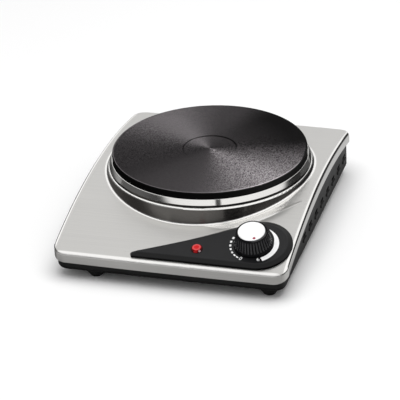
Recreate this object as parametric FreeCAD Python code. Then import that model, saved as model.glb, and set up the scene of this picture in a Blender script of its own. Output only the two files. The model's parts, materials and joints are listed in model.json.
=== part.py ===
import FreeCAD, Part
import math
import os

# Single electric hot plate: an arched sheet-steel cover with a drum pressed up for a cast-iron plate,
# on a dark base tray with four feet, with a drop-shaped control panel and one knob at the front.
# Millimetres. Origin on the standing surface under the middle of the body. +X right, +Y rear, +Z up.

V = FreeCAD.Vector
X_AXIS = V(1, 0, 0)
Z_AXIS = V(0, 0, 1)

# Cover: one pressing, curved front to rear on a large radius, with a turned-down lip all round
BODY_WIDTH = 225.0
BODY_DEPTH = 274.0
ARCH_RADIUS = 515.0
CREST_Y = 28.0
CREST_Z = 54.7
COVER_SHEET = 0.8
COVER_CORNER = 13.0
COVER_EDGE = 3.0
LIP_DROP = 9.5
FRONT_BOW = 0.8
REAR_BOW = 2.6

# Drum pressed up from the cover to carry the plate
PLATE_Y = 15.5
DRUM_TOP_Z = 58.3
DRUM_TOP_R = 99.0
DRUM_FLARE = 0.147
DRUM_EDGE = 1.8
DRUM_FOOT = 1.4
DRUM_OPENING_R = 86.0

# Soft swell of the cover at the drum's front right: the arch tipped up about a chord, inside a flat cone
SWELL_MIDDLE = -50.5
SWELL_CHORD = 103.5
SWELL_TIP = 7.0
SWELL_R = 113.0
SWELL_FLANK = 22.0

# Cast-iron plate and its trim ring
PLATE_R = 94.0
PLATE_TOP_Z = 72.0
PLATE_EDGE = 1.2
PLATE_LOWER_EDGE = 0.6
PLATE_SEAT_Z = 63.6
PLATE_HUB_R = 84.0
PLATE_HUB_Z = 56.5
PLATE_WELL_IN = 20.0
PLATE_WELL_OUT = 76.0
PLATE_WELL_Z = 61.0
DIMPLE_R = 26.0
DIMPLE_DEPTH = 0.8
TRIM_LIP_Z = 65.6
TRIM_LIP_R = 94.4
TRIM_SHEET = 0.8
TRIM_EDGE = 0.35
TRIM_TURN = 0.2
TRIM_SKIRT_R = 97.8
TRIM_SKIRT_Z = 60.2
TRIM_FOOT_R = 90.2

# Heating element and what clamps the plate down
COIL_WIRE_R = 2.0
COIL_OUTER_R = 62.0
COIL_INNER_R = 40.0
COIL_GAP_ANGLE = 15.0
COIL_Z = 58.8
BOTTOM_COVER_R = 80.0
BOTTOM_COVER_IN = 12.0
BOTTOM_COVER_T = 0.8
STUD_R = 3.0
STUD_TOP_Z = 62.0
STUD_END_Z = 34.4
BRIDGE_HALF = 94.0
BRIDGE_WIDTH = 22.0
BRIDGE_SHEET = 1.5
BRIDGE_BEND_OUT = 85.8
BRIDGE_BEND_IN = 70.0
BRIDGE_LOW_Z = 44.5
SHIELD_R = 84.0
SHIELD_T = 0.6
SHIELD_RIM = 3.0
WASHER_R = 9.0
WASHER_T = 1.5
NUT_FLATS = 10.0
NUT_T = 5.0
PLATE_BLOCK = (-17.0, 17.0, -45.0, -30.0)
PLATE_BLOCK_T = 8.0
PLATE_TAB_X = 9.0
PLATE_TAB_Z = 51.0
TAB_T = 0.8
TAB_WIDTH = 6.0
TAB_REACH = 6.0
CUTOUT = (-42.0, -8.0)
CUTOUT_R = 7.5
CUTOUT_T = 6.5
CUTOUT_FLANGE_R = 9.0
CUTOUT_FLANGE_T = 2.0
CUTOUT_SOCKET_R = 6.0
CUTOUT_SOCKET = 1.0

# Base tray
TRAY_INSET = 2.8
TRAY_REAR_Y = 131.4
TRAY_CORNER = 10.5
TRAY_WALL = 1.6
TRAY_Z = 8.0
TRAY_EDGE = 5.0
TRAY_TOP_DROP = 4.0
VENT_LENGTH = 11.0
VENT_HEIGHT = 3.0
VENT_PITCH = 23.35
VENT_FIRST = (110.0, 25.6)
VENT_COUNT = 8
LOUVRE_LENGTH = 12.5
LOUVRE_HEIGHT = 3.6
LOUVRE_DROP = 4.4
LOUVRE_PROUD = 1.3
LOUVRE_EDGE = 1.1
FLOOR_SLOT = (44.0, 5.0)
FLOOR_SLOT_PITCH = 18.0

# Feet
FOOT_TOP_R = 9.5
FOOT_BOTTOM_R = 6.0
FOOT_EDGE = 0.8
FOOT_BAND = 1.5
FOOT_RECESS = 4.0
FOOT_SCREW_TOP = 14.0
FOOT_LEFT_X = -74.0
FOOT_RIGHT_X = 93.0
FOOT_FRONT_Y = -121.0
FOOT_REAR_Y = 116.0

# Drop-shaped panel, in the panel's own plane: u to the right, v up the slope, n out of the surface,
# measured from the knob's axis on the cover
KNOB_X = 74.8
KNOB_Y = -105.5
PANEL_TOP = 3.2
PANEL_RIM = 1.6
PANEL_FRONT_V = -28.7
PANEL_ROUND = (5.2, 2.1, 30.8)
PANEL_TIP = (-108.2, -26.0, 2.7)
PANEL_UPPER = (-60.6, -0.4)
PANEL_UPPER_SLOPE = 33.5
PANEL_TIP_SLOPE = 22.5
FLAT_ROUND_R = 26.0
FLAT_TIP_U = -103.0
FLAT_TIP_R = 0.9
FLAT_UPPER = (-58.5, -1.3)

# Knob, thermostat and pilot lamp on that plane
SKIRT_R = 18.0
GRIP_R = 14.9
GRIP_TOP_R = 14.3
KNOB_LOW = 3.9
KNOB_TOP = 20.0
SKIRT_T = 1.0
SKIRT_EDGE = 0.6
SKIRT_RISE = 3.2
GRIP_FOOT = 3.8
GRIP_WALL = 2.4
GRIP_EDGE = 0.8
GRIP_RIM = 0.5
KNOB_WELL = 16.5
KNOB_RIBS = 30
RIB_GROOVE_R = 0.75
RIB_OUT = 0.15
RIB_LOW = 4.2
RIB_HIGH = 1.6
BOSS_R = 5.4
BOSS_LIFT = 0.4
CAP_R = 13.0
CAP_SEAT = 18.8
CAP_RISE = 0.3
CAP_EDGE = 0.6
DOT_R = 1.1
DOT_RADIUS = 10.0
DOT_ANGLE = 28.0
DOT_SINK = 0.5
DOT_RISE = 0.4
SHAFT_R = 3.0
SHAFT_FLAT = 1.9
SHAFT_FLAT_LOW = 3.0
SHAFT_END_GAP = 1.5
SHAFT_PLAY = 0.05
SPRING_T = 0.4
SPRING_WIDTH = 3.0
SPRING_LOW = 7.0
NECK_R = 4.8
NECK_TOP = 2.0
NECK_HOLE_R = 5.2
THERMOSTAT = (30.0, 34.0, 14.0)
THERMOSTAT_TOP = -6.0
THERMOSTAT_POCKET = 3.0
SHAFT_FOOT = 1.0
THERMOSTAT_TAB_U = 8.0
THERMOSTAT_TAB_N = -14.0
THERMOSTAT_TAB_REACH = 8.0
BRACKET_SHEET = 1.2
BRACKET_HALF = 12.0
BRACKET_EAR = 5.0
BRACKET_LOW = -3.0
SCREW_OFFSET = 9.0
LAMP = (-50.4, -12.9)
LENS_R = 4.6
LENS_RISE = 3.2
LENS_EDGE = 1.3
LENS_FLANGE_R = 5.6
LENS_FLANGE_T = 0.8
LENS_FLANGE_EDGE = 0.4
LENS_STEM_R = 3.6
LENS_STEM_LOW = -9.0
LENS_BORE_R = 2.6
LENS_BORE_TOP = 1.2
BULB_R = 2.5
BULB_DROP = 1.6
CLIP_R = 7.0
CLIP_TOP = -1.6
CLIP_T = 0.8

# Mains side
GLAND_X = 50.0
GLAND_Z = 22.0
GLAND_BORE_R = 3.6
GLAND_HOLE_R = 7.0
GLAND_FLANGE_R = 10.0
GLAND_FLANGE_T = 2.4
GLAND_FLANGE_EDGE = 1.0
GLAND_TAIL = 5.6
GLAND_BARB = 1.2
GLAND_BARB_T = 0.8
LEG_X = 98.0
LEG_YS = (-70.0, 85.0)
LEG_WIDTH = 14.0
LEG_SHEET = 1.2
LEG_TOE = 15.0
LEG_SCREW_IN = 8.0
LEG_SCREW_TOP = 16.0
MAINS_BLOCK = (34.0, 66.0, 92.0, 110.0)
MAINS_BLOCK_T = 12.0
MAINS_WELL_R = 2.2
MAINS_WELL_LOW = 8.0
MAINS_SCREW_R = 2.0
MAINS_SCREW_T = 2.0
MAINS_WIRE_UP = 5.0
BLOCK_EDGE = 2.0
EARTH_LUG_HALF = 4.0
EARTH_LUG_Z = 20.0
WIRE_D = 2.4
LEAD_D = 1.4
LEAD_APART = 1.2

# Small screws and fits, shared by all pieces
SCREW_R = 1.5
SCREW_HOLE_R = 1.8
TAPPED_HOLE_R = 1.6
HEAD_R = 2.9
HEAD_T = 1.8
SMALL_NUT_FLATS = 5.5
SMALL_NUT_T = 2.4
CLEARANCE = 0.3
CLOSE_FIT = 0.1


def arch_z(y, drop=0.0):
    """Height of the arch at y, on a surface drop below the cover's outside."""
    radius = ARCH_RADIUS - drop
    return CREST_Z - ARCH_RADIUS + math.sqrt(radius ** 2 - (y - CREST_Y) ** 2)


def slope_at(y):
    """Angle of the arch at y, in degrees, falling towards the front."""
    return math.degrees(math.asin((CREST_Y - y) / ARCH_RADIUS))


PANEL_TILT = slope_at(KNOB_Y)
PANEL_PLACE = FreeCAD.Placement(V(KNOB_X, KNOB_Y, arch_z(KNOB_Y)), FreeCAD.Rotation(X_AXIS, PANEL_TILT))
FLOOR_Z = TRAY_Z + TRAY_WALL
COVER_UNDER_Z = DRUM_TOP_Z - COVER_SHEET
PLATE_BLOCK_TOP = PLATE_HUB_Z - BOTTOM_COVER_T
SHAFT_TOP = KNOB_WELL - SHAFT_END_GAP
MAINS_WIRE_Z = FLOOR_Z + MAINS_WIRE_UP
PLATE_WIRE_Z = PLATE_TAB_Z + TAB_T / 2
EARTH_LUG_Y = LEG_YS[1]


def box(x0, x1, y0, y1, z0, z1):
    return Part.makeBox(x1 - x0, y1 - y0, z1 - z0, V(x0, y0, z0))


def disc(radius, z0, z1, x=0.0, y=0.0):
    return Part.makeCylinder(radius, z1 - z0, V(x, y, z0))


def tube(outer, inner, z0, z1, x=0.0, y=0.0):
    return disc(outer, z0, z1, x, y).cut(disc(inner, z0 - 1, z1 + 1, x, y))


def turned(profile):
    """Solid of revolution about Z from (radius, height) corners."""
    points = [V(r, 0, z) for r, z in profile]
    face = Part.Face(Part.makePolygon(points + points[:1]))
    return face.revolve(V(0, 0, 0), Z_AXIS, 360)


def hexagon(flats, z0, z1, x=0.0, y=0.0):
    corner = flats / math.sqrt(3)
    angles = [math.radians(60 * k) for k in range(7)]
    points = [V(x + corner * math.cos(a), y + corner * math.sin(a), z0) for a in angles]
    return Part.Face(Part.makePolygon(points)).extrude(V(0, 0, z1 - z0))


def obround(length, width, height):
    """Slot with round ends, long along Y, about the origin."""
    half = (length - width) / 2
    r = width / 2
    edges = [
        Part.LineSegment(V(r, -half, 0), V(r, half, 0)).toShape(),
        Part.Arc(V(r, half, 0), V(0, half + r, 0), V(-r, half, 0)).toShape(),
        Part.LineSegment(V(-r, half, 0), V(-r, -half, 0)).toShape(),
        Part.Arc(V(-r, -half, 0), V(0, -half - r, 0), V(r, -half, 0)).toShape(),
    ]
    return Part.Face(Part.Wire(edges)).extrude(V(0, 0, height))


def at_plate(shape):
    """Moves a shape made about the Z axis to the plate's centre line."""
    return shape.translated(V(0, PLATE_Y, 0))


def on_panel(shape):
    """Moves a shape made in the panel's plane to its place on the cover."""
    placed = shape.copy()
    placed.Placement = PANEL_PLACE.multiply(placed.Placement)
    return placed


def cut_all(shape, tools):
    return shape.cut(Part.makeCompound(tools))


def edges_where(shape, test):
    return [edge for edge in shape.Edges if test(edge)]


def rings_at(shape, radius, z):
    """Round edges about the Z axis at one radius and height."""
    def matches(edge):
        bounds = edge.BoundBox
        level = abs(bounds.ZMin - z) < 0.01 and abs(bounds.ZMax - z) < 0.01
        return level and abs(bounds.XLength / 2 - radius) < 0.01
    return edges_where(shape, matches)


def is_upright(edge):
    first, last = edge.Vertexes[0].Point, edge.Vertexes[-1].Point
    return abs(first.x - last.x) < 0.01 and abs(first.y - last.y) < 0.01


def under_arch(drop):
    """Everything below the arch, on a surface drop below the cover's outside."""
    reach = 160.0
    ends = [V(-reach, y, arch_z(y, drop)) for y in (-reach, 0.0, reach)]
    low = [V(-reach, y, -reach) for y in (reach, -reach)]
    arc = Part.Arc(*ends).toShape()
    sides = Part.makePolygon([ends[2], low[0], low[1], ends[0]])
    return Part.Face(Part.Wire([arc] + sides.Edges)).extrude(V(2 * reach, 0, 0))


def plan_block(inset, corner, high):
    """The cover's plan, drawn in by inset, from the ground up to high."""
    x = BODY_WIDTH / 2 - inset
    front = -BODY_DEPTH / 2 + inset
    rear = BODY_DEPTH / 2 - inset
    left_front, right_front = V(-x, front + FRONT_BOW, 0), V(x, front + FRONT_BOW, 0)
    left_rear, right_rear = V(-x, rear - REAR_BOW, 0), V(x, rear - REAR_BOW, 0)
    edges = [
        Part.Arc(left_front, V(0, front, 0), right_front).toShape(),
        Part.LineSegment(right_front, right_rear).toShape(),
        Part.Arc(right_rear, V(0, rear, 0), left_rear).toShape(),
        Part.LineSegment(left_rear, left_front).toShape(),
    ]
    block = Part.Face(Part.Wire(edges)).extrude(V(0, 0, high))
    return block.makeFillet(corner, edges_where(block, is_upright))


def swell(inset):
    """Filled form of the swell at the drum's front right, drawn in by inset."""
    middle = math.radians(SWELL_MIDDLE)
    out = V(math.cos(middle), math.sin(middle), 0)
    along = V(-math.sin(middle), math.cos(middle), 0)
    centre = V(0, PLATE_Y, 0)
    reach = math.sqrt(SWELL_R ** 2 - SWELL_CHORD ** 2)
    ends = [centre + out * SWELL_CHORD + along * side for side in (reach, -reach)]
    rear, front = [V(end.x, end.y, arch_z(end.y)) for end in ends]
    tipped = under_arch(inset)
    tipped.rotate(rear, front - rear, SWELL_TIP)
    crease_y = PLATE_Y + SWELL_R * math.sin(middle)
    slope = slope_at(crease_y)
    middle_z = arch_z(crease_y) + math.tan(math.radians(slope)) * (PLATE_Y - crease_y)
    flank = math.radians(SWELL_FLANK)
    below, above = 10.0, 4.0
    cone = Part.makeCone(SWELL_R + below / math.tan(flank), SWELL_R - above / math.tan(flank), below + above)
    cone.translate(V(0, 0, -below - inset / math.cos(flank)))
    place = FreeCAD.Placement(V(0, PLATE_Y, middle_z), FreeCAD.Rotation(X_AXIS, slope))
    cone.Placement = place.multiply(cone.Placement)
    around = box(front.x - 2, rear.x + 2, front.y - 8, rear.y + 2, 25, 70)
    return tipped.common(cone).common(around)


def cover_form(inset):
    """The cover's filled form, drawn in by inset: arched block with rounded top edges, swell and drum."""
    block = plan_block(inset, COVER_CORNER - inset, 80).common(under_arch(inset))
    crown = max(block.Faces, key=lambda face: face.CenterOfMass.z)
    block = block.makeFillet(COVER_EDGE - inset, crown.Edges)
    low = 25.0
    top = DRUM_TOP_Z - inset
    wide = DRUM_TOP_R - inset + DRUM_FLARE * (top - low)
    drum = turned([(0, low), (wide, low), (DRUM_TOP_R - inset, top), (0, top)])
    rim = edges_where(drum, lambda e: abs(e.BoundBox.ZMin - top) < 0.01 and e.BoundBox.XLength > 10)
    drum = at_plate(drum.makeFillet(DRUM_EDGE - inset, rim))
    return block.fuse(swell(inset)).fuse(drum)


def drum_foot_edges(form):
    """Where the drum's flared wall leaves the arch."""
    def at_foot(edge):
        spot = edge.valueAt((edge.FirstParameter + edge.LastParameter) / 2)
        from_axis = math.hypot(spot.x, spot.y - PLATE_Y)
        return abs(from_axis - DRUM_TOP_R - 1.5) < 2.0 and abs(spot.z - arch_z(spot.y)) < 0.05
    return edges_where(form, at_foot)


def top_cover():
    outside = cover_form(0.0)
    outside = outside.makeFillet(DRUM_FOOT, drum_foot_edges(outside))
    shell = outside.cut(cover_form(COVER_SHEET)).cut(under_arch(LIP_DROP))
    deep = 12.0
    neck = on_panel(disc(NECK_HOLE_R, -deep, deep))
    lamp = on_panel(disc(LENS_STEM_R + CLEARANCE, -deep, deep, *LAMP))
    screws = [on_panel(disc(SCREW_HOLE_R, -deep, deep, 0, v)) for v in (-SCREW_OFFSET, SCREW_OFFSET)]
    opening = at_plate(disc(DRUM_OPENING_R, 40, 70))
    return cut_all(shell, [opening, neck, lamp] + screws)


def tray_block(wall, low, high):
    """The tray's plan, drawn in by wall, as a block with a rounded bottom edge."""
    x = BODY_WIDTH / 2 - TRAY_INSET - wall
    front = -BODY_DEPTH / 2 + TRAY_INSET + wall
    block = box(-x, x, front, TRAY_REAR_Y - wall, low, high)
    block = block.makeFillet(TRAY_CORNER - wall, edges_where(block, is_upright))
    bottom = edges_where(block, lambda e: e.BoundBox.ZMax < low + 0.01)
    return block.makeFillet(TRAY_EDGE - wall, bottom)


def along_side_walls(shape, drop):
    """Copies of a shape that faces up, turned to face out of both side walls, one below each vent by drop."""
    wall = BODY_WIDTH / 2 - TRAY_INSET
    first_y, z = VENT_FIRST
    copies = []
    for side in (-1, 1):
        for k in range(VENT_COUNT):
            copy = shape.copy()
            copy.rotate(V(0, 0, 0), V(0, 1, 0), side * 90)
            copy.translate(V(side * wall, first_y - k * VENT_PITCH, z - drop))
            copies.append(copy)
    return copies


def side_vents():
    """A row of slots through each side wall."""
    depth = 12.0
    slot = obround(VENT_LENGTH, VENT_HEIGHT, depth)
    slot.translate(V(0, 0, -depth / 2))
    return along_side_walls(slot, 0.0)


def louvres():
    """Rounded lips pressed out of the side walls, one below each slot."""
    lip = obround(LOUVRE_LENGTH, LOUVRE_HEIGHT, TRAY_WALL / 2 + LOUVRE_PROUD)
    crown = max(lip.Faces, key=lambda face: face.CenterOfMass.z)
    lip = lip.makeFillet(LOUVRE_EDGE, crown.Edges)
    lip.translate(V(0, 0, -TRAY_WALL / 2))
    return along_side_walls(lip, LOUVRE_DROP)


def floor_vents():
    """A field of slots in the tray's floor under the plate."""
    length, width = FLOOR_SLOT
    slots = []
    for row in (-1, 1):
        for k in range(-2, 3):
            slot = obround(length, width, 10)
            slot.translate(V(k * FLOOR_SLOT_PITCH, PLATE_Y + row * length * 0.7, TRAY_Z - 5))
            slots.append(slot)
    return slots


def foot_places():
    rows = {"front": FOOT_FRONT_Y, "rear": FOOT_REAR_Y}
    sides = {"left": FOOT_LEFT_X, "right": FOOT_RIGHT_X}
    return {f"foot_{row}_{side}": (x, y) for row, y in rows.items() for side, x in sides.items()}


def leg_places():
    return [(side * LEG_X, y) for side in (-1, 1) for y in LEG_YS]


def leg_screw_place(x, y):
    return x - math.copysign(LEG_SCREW_IN, x), y


def base_tray():
    outside = tray_block(0.0, TRAY_Z, 80).common(under_arch(TRAY_TOP_DROP))
    tray = outside.cut(tray_block(TRAY_WALL, FLOOR_Z, 90)).fuse(louvres())
    holes = [disc(SCREW_HOLE_R, 0, 20, x, y) for x, y in foot_places().values()]
    holes += [disc(SCREW_HOLE_R, 0, 20, *leg_screw_place(x, y)) for x, y in leg_places()]
    gland = Part.makeCylinder(GLAND_HOLE_R, 20, V(GLAND_X, TRAY_REAR_Y - 10, GLAND_Z), V(0, 1, 0))
    return cut_all(tray, side_vents() + floor_vents() + holes + [gland])


def hot_plate():
    """Cast disc with a shallow dimple on top, a hub below it and a ring-shaped well for the element."""
    profile = [
        (0, PLATE_TOP_Z - DIMPLE_DEPTH),
        (DIMPLE_R - DIMPLE_DEPTH, PLATE_TOP_Z - DIMPLE_DEPTH),
        (DIMPLE_R, PLATE_TOP_Z),
        (PLATE_R, PLATE_TOP_Z),
        (PLATE_R, PLATE_SEAT_Z),
        (PLATE_HUB_R, PLATE_SEAT_Z),
        (PLATE_HUB_R, PLATE_HUB_Z),
        (PLATE_WELL_OUT, PLATE_HUB_Z),
        (PLATE_WELL_OUT, PLATE_WELL_Z),
        (PLATE_WELL_IN, PLATE_WELL_Z),
        (PLATE_WELL_IN, PLATE_HUB_Z),
        (STUD_R + SHAFT_PLAY, PLATE_HUB_Z),
        (STUD_R + SHAFT_PLAY, STUD_TOP_Z),
        (0, STUD_TOP_Z),
    ]
    plate = turned(profile)
    plate = plate.makeFillet(PLATE_EDGE, rings_at(plate, PLATE_R, PLATE_TOP_Z))
    return at_plate(plate.makeFillet(PLATE_LOWER_EDGE, rings_at(plate, PLATE_R, PLATE_SEAT_Z)))


def trim_ring():
    """Rolled ring: a shelf under the disc, a lip round it, a sloping skirt, and a foot on the drum."""
    shelf = PLATE_SEAT_Z - TRIM_SHEET
    profile = [
        (PLATE_HUB_R + 1, PLATE_SEAT_Z),
        (TRIM_LIP_R, PLATE_SEAT_Z),
        (TRIM_LIP_R, TRIM_LIP_Z),
        (TRIM_LIP_R + TRIM_SHEET, TRIM_LIP_Z),
        (TRIM_SKIRT_R, TRIM_SKIRT_Z),
        (TRIM_SKIRT_R - TRIM_SHEET, TRIM_SKIRT_Z - TRIM_TURN),
        (TRIM_LIP_R + TRIM_TURN, shelf),
        (TRIM_FOOT_R + TRIM_SHEET, shelf),
        (TRIM_FOOT_R + TRIM_SHEET, DRUM_TOP_Z),
        (TRIM_FOOT_R, DRUM_TOP_Z),
        (TRIM_FOOT_R, shelf),
        (PLATE_HUB_R + 1, shelf),
    ]
    ring = turned(profile)
    lip = rings_at(ring, TRIM_LIP_R, TRIM_LIP_Z) + rings_at(ring, TRIM_LIP_R + TRIM_SHEET, TRIM_LIP_Z)
    return at_plate(ring.makeFillet(TRIM_EDGE, lip + rings_at(ring, TRIM_SKIRT_R, TRIM_SKIRT_Z)))


def coil_tube(wire_radius):
    """The element's tube: out round the large ring, a half turn, and back round the small one."""
    def polar(radius, degrees):
        a = math.radians(degrees)
        return V(radius * math.cos(a), radius * math.sin(a), COIL_Z)
    start = -90 + COIL_GAP_ANGLE
    end = 270 - COIL_GAP_ANGLE
    middle = (start + end) / 2
    mean = (COIL_OUTER_R + COIL_INNER_R) / 2
    bend = (COIL_OUTER_R - COIL_INNER_R) / 2
    edges = [
        Part.Arc(polar(COIL_OUTER_R, start), polar(COIL_OUTER_R, middle), polar(COIL_OUTER_R, end)).toShape(),
        Part.Arc(polar(COIL_OUTER_R, end), bend_top(mean, end, bend), polar(COIL_INNER_R, end)).toShape(),
        Part.Arc(polar(COIL_INNER_R, end), polar(COIL_INNER_R, middle), polar(COIL_INNER_R, start)).toShape(),
    ]
    path = Part.Wire(edges)
    a = math.radians(start)
    along = V(-math.sin(a), math.cos(a), 0)
    section = Part.Wire(Part.makeCircle(wire_radius, polar(COIL_OUTER_R, start), along))
    return at_plate(path.makePipeShell([section], True, False))


def bend_top(mean, degrees, bend):
    """Outermost point of the half turn that joins the element's two rings."""
    a = math.radians(degrees)
    return V(mean * math.cos(a) - bend * math.sin(a), mean * math.sin(a) + bend * math.cos(a), COIL_Z)


def heating_coil():
    return coil_tube(COIL_WIRE_R)


def coil_filling():
    """Ceramic ring that holds the element in the plate's well."""
    ring = tube(PLATE_WELL_OUT - CLEARANCE, PLATE_WELL_IN + CLEARANCE, PLATE_HUB_Z, PLATE_WELL_Z)
    return at_plate(ring).cut(coil_tube(COIL_WIRE_R + CLOSE_FIT))


def plate_bottom_cover():
    return at_plate(tube(BOTTOM_COVER_R, BOTTOM_COVER_IN, PLATE_HUB_Z - BOTTOM_COVER_T, PLATE_HUB_Z))


def plate_stud():
    return at_plate(disc(STUD_R, STUD_END_Z, STUD_TOP_Z))


def clamp_bridge():
    """Strap across the drum's opening, bent down in the middle for the stud."""
    high = COVER_UNDER_Z
    low = BRIDGE_LOW_Z + BRIDGE_SHEET
    upper = [(-BRIDGE_HALF, high), (-BRIDGE_BEND_OUT, high), (-BRIDGE_BEND_IN, low)]
    upper += [(-x, z) for x, z in reversed(upper)]
    lower = [(x, z - BRIDGE_SHEET) for x, z in reversed(upper)]
    points = [V(x, PLATE_Y - BRIDGE_WIDTH / 2, z) for x, z in upper + lower]
    strap = Part.Face(Part.makePolygon(points + points[:1])).extrude(V(0, BRIDGE_WIDTH, 0))
    return strap.cut(at_plate(disc(STUD_R + CLEARANCE, 30, 60)))


def heat_shield():
    """Dished sheet under the bridge that keeps the plate's heat off the tray."""
    top = BRIDGE_LOW_Z
    low = top - SHIELD_T
    hole = STUD_R + CLEARANCE
    profile = [
        (hole, low),
        (SHIELD_R, low),
        (SHIELD_R, top + SHIELD_RIM),
        (SHIELD_R - SHIELD_T, top + SHIELD_RIM),
        (SHIELD_R - SHIELD_T, top),
        (hole, top),
    ]
    return at_plate(turned(profile))


def clamp_washer():
    top = BRIDGE_LOW_Z - SHIELD_T
    return at_plate(tube(WASHER_R, STUD_R + CLEARANCE, top - WASHER_T, top))


def clamp_nut():
    top = BRIDGE_LOW_Z - SHIELD_T - WASHER_T
    nut = hexagon(NUT_FLATS, top - NUT_T, top)
    return at_plate(nut.cut(disc(STUD_R + SHAFT_PLAY, 20, 60)))


def plate_terminal_block():
    x0, x1, y0, y1 = PLATE_BLOCK
    block = box(x0, x1, y0, y1, PLATE_BLOCK_TOP - PLATE_BLOCK_T, PLATE_BLOCK_TOP)
    return block.makeFillet(BLOCK_EDGE, edges_where(block, is_upright))


def plate_tabs():
    front = PLATE_BLOCK[2]
    half = TAB_WIDTH / 2
    tabs = [box(x - half, x + half, front - TAB_REACH, front, PLATE_TAB_Z, PLATE_TAB_Z + TAB_T)
            for x in (-PLATE_TAB_X, PLATE_TAB_X)]
    return Part.makeCompound(tabs)


def thermal_cutout():
    top = PLATE_BLOCK_TOP
    flange = tube(CUTOUT_FLANGE_R, CUTOUT_SOCKET_R, top - CUTOUT_FLANGE_T, top)
    body = flange.fuse(disc(CUTOUT_R, top - CUTOUT_T, top - CUTOUT_SOCKET))
    return body.translated(V(CUTOUT[0], CUTOUT[1], 0)).removeSplitter()


def panel_wire(n, round_r, front_v, tip, upper, tip_slope, upper_slope):
    """Drop outline at height n: a straight front edge, a round end, a hollow upper edge and a small tip."""
    cu, cv, _ = PANEL_ROUND
    tu, tv, tr = tip
    up = math.radians(90 + upper_slope)
    back = math.radians(90 + tip_slope)
    join = V(cu + round_r * math.cos(up), cv + round_r * math.sin(up), n)
    tip_top = V(tu + tr * math.cos(back), tv + tr * math.sin(back), n)
    edges = [
        Part.LineSegment(V(tu, front_v, n), V(cu, front_v, n)).toShape(),
        Part.Arc(V(cu, front_v, n), V(cu + round_r, cv, n), join).toShape(),
        Part.Arc(join, V(upper[0], upper[1], n), tip_top).toShape(),
        Part.Arc(tip_top, V(tu - tr, tv, n), V(tu, front_v, n)).toShape(),
    ]
    return Part.Wire(edges)


def control_panel():
    """Drop-shaped panel with a bevelled border, seated on the arch."""
    slopes = (PANEL_TIP_SLOPE, PANEL_UPPER_SLOPE)
    rim = panel_wire(PANEL_RIM, PANEL_ROUND[2], PANEL_FRONT_V, PANEL_TIP, PANEL_UPPER, *slopes)
    flat_front = PANEL_ROUND[1] - FLAT_ROUND_R
    flat_tip = (FLAT_TIP_U, flat_front + FLAT_TIP_R, FLAT_TIP_R)
    flat = panel_wire(PANEL_TOP, FLAT_ROUND_R, flat_front, flat_tip, FLAT_UPPER, *slopes)
    bevel = Part.makeLoft([rim, flat], True, True)
    body = Part.Face(rim).extrude(V(0, 0, -8)).fuse(bevel).removeSplitter()
    holes = [disc(NECK_HOLE_R, -20, 20), disc(LENS_STEM_R + CLEARANCE, -20, 20, *LAMP)]
    holes += [disc(SCREW_HOLE_R, -20, 20, 0, v) for v in (-SCREW_OFFSET, SCREW_OFFSET)]
    return on_panel(cut_all(body, holes)).cut(under_arch(0.0))


def at_lamp(shape):
    """Moves a shape made about the panel's normal to the lamp's place on the panel."""
    return on_panel(shape.translated(V(LAMP[0], LAMP[1], 0)))


def pilot_lens():
    """Button-shaped lens on a flange, with a hollow stem that passes through the panel and the cover."""
    low = PANEL_TOP
    flange_top = low + LENS_FLANGE_T
    button = disc(LENS_R, low, low + LENS_RISE)
    button = button.makeFillet(LENS_EDGE, rings_at(button, LENS_R, low + LENS_RISE))
    flange = disc(LENS_FLANGE_R, low, flange_top)
    flange = flange.makeFillet(LENS_FLANGE_EDGE, rings_at(flange, LENS_FLANGE_R, flange_top))
    lens = button.fuse([flange, disc(LENS_STEM_R, LENS_STEM_LOW, low)]).removeSplitter()
    return at_lamp(lens.cut(disc(LENS_BORE_R, LENS_STEM_LOW - 1, low + LENS_BORE_TOP)))


def pilot_lamp():
    """Small glow lamp inside the lens."""
    tip = PANEL_TOP - BULB_DROP
    bulb = disc(BULB_R, LENS_STEM_LOW, tip).fuse(Part.makeSphere(BULB_R, V(0, 0, tip)))
    return at_lamp(bulb.removeSplitter())


def lamp_clip():
    """Push-on ring that holds the lens from below."""
    return at_lamp(tube(CLIP_R, LENS_STEM_R + CLOSE_FIT, CLIP_TOP - CLIP_T, CLIP_TOP))


def dee(radius, flat, z0, z1):
    """Round bar with one flat, facing up the slope."""
    return disc(radius, z0, z1).cut(box(-radius - 1, radius + 1, flat, radius + 1, z0 - 1, z1 + 1))


def control_knob():
    """Hollow knob: a wide skirt, a ribbed grip, a seat for the cap, and a boss with a D-shaped socket."""
    profile = [
        (SKIRT_R, KNOB_LOW),
        (SKIRT_R, KNOB_LOW + SKIRT_T),
        (SKIRT_R - SKIRT_EDGE, KNOB_LOW + SKIRT_T + SKIRT_EDGE),
        (GRIP_R + SKIRT_EDGE, KNOB_LOW + SKIRT_RISE),
        (GRIP_R, KNOB_LOW + GRIP_FOOT),
        (GRIP_TOP_R, KNOB_TOP - GRIP_EDGE),
        (GRIP_TOP_R - GRIP_RIM, KNOB_TOP),
        (CAP_R + CLOSE_FIT, KNOB_TOP),
        (CAP_R + CLOSE_FIT, CAP_SEAT),
        (0, CAP_SEAT),
        (0, KNOB_WELL),
        (GRIP_R - GRIP_WALL, KNOB_WELL),
        (GRIP_R - GRIP_WALL, KNOB_LOW),
    ]
    groove = disc(RIB_GROOVE_R, KNOB_LOW + RIB_LOW, KNOB_TOP - RIB_HIGH, GRIP_R + RIB_OUT, 0)
    grooves = []
    for k in range(KNOB_RIBS):
        turned_groove = groove.copy()
        turned_groove.rotate(V(0, 0, 0), Z_AXIS, 360.0 * k / KNOB_RIBS)
        grooves.append(turned_groove)
    boss = disc(BOSS_R, KNOB_LOW + BOSS_LIFT, KNOB_WELL)
    socket = dee(SHAFT_R + SHAFT_PLAY, SHAFT_FLAT + SPRING_T + 2 * SHAFT_PLAY, 0, KNOB_WELL - 1)
    knob = cut_all(turned(profile), grooves).fuse(boss).removeSplitter()
    return on_panel(knob.cut(socket))


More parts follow.
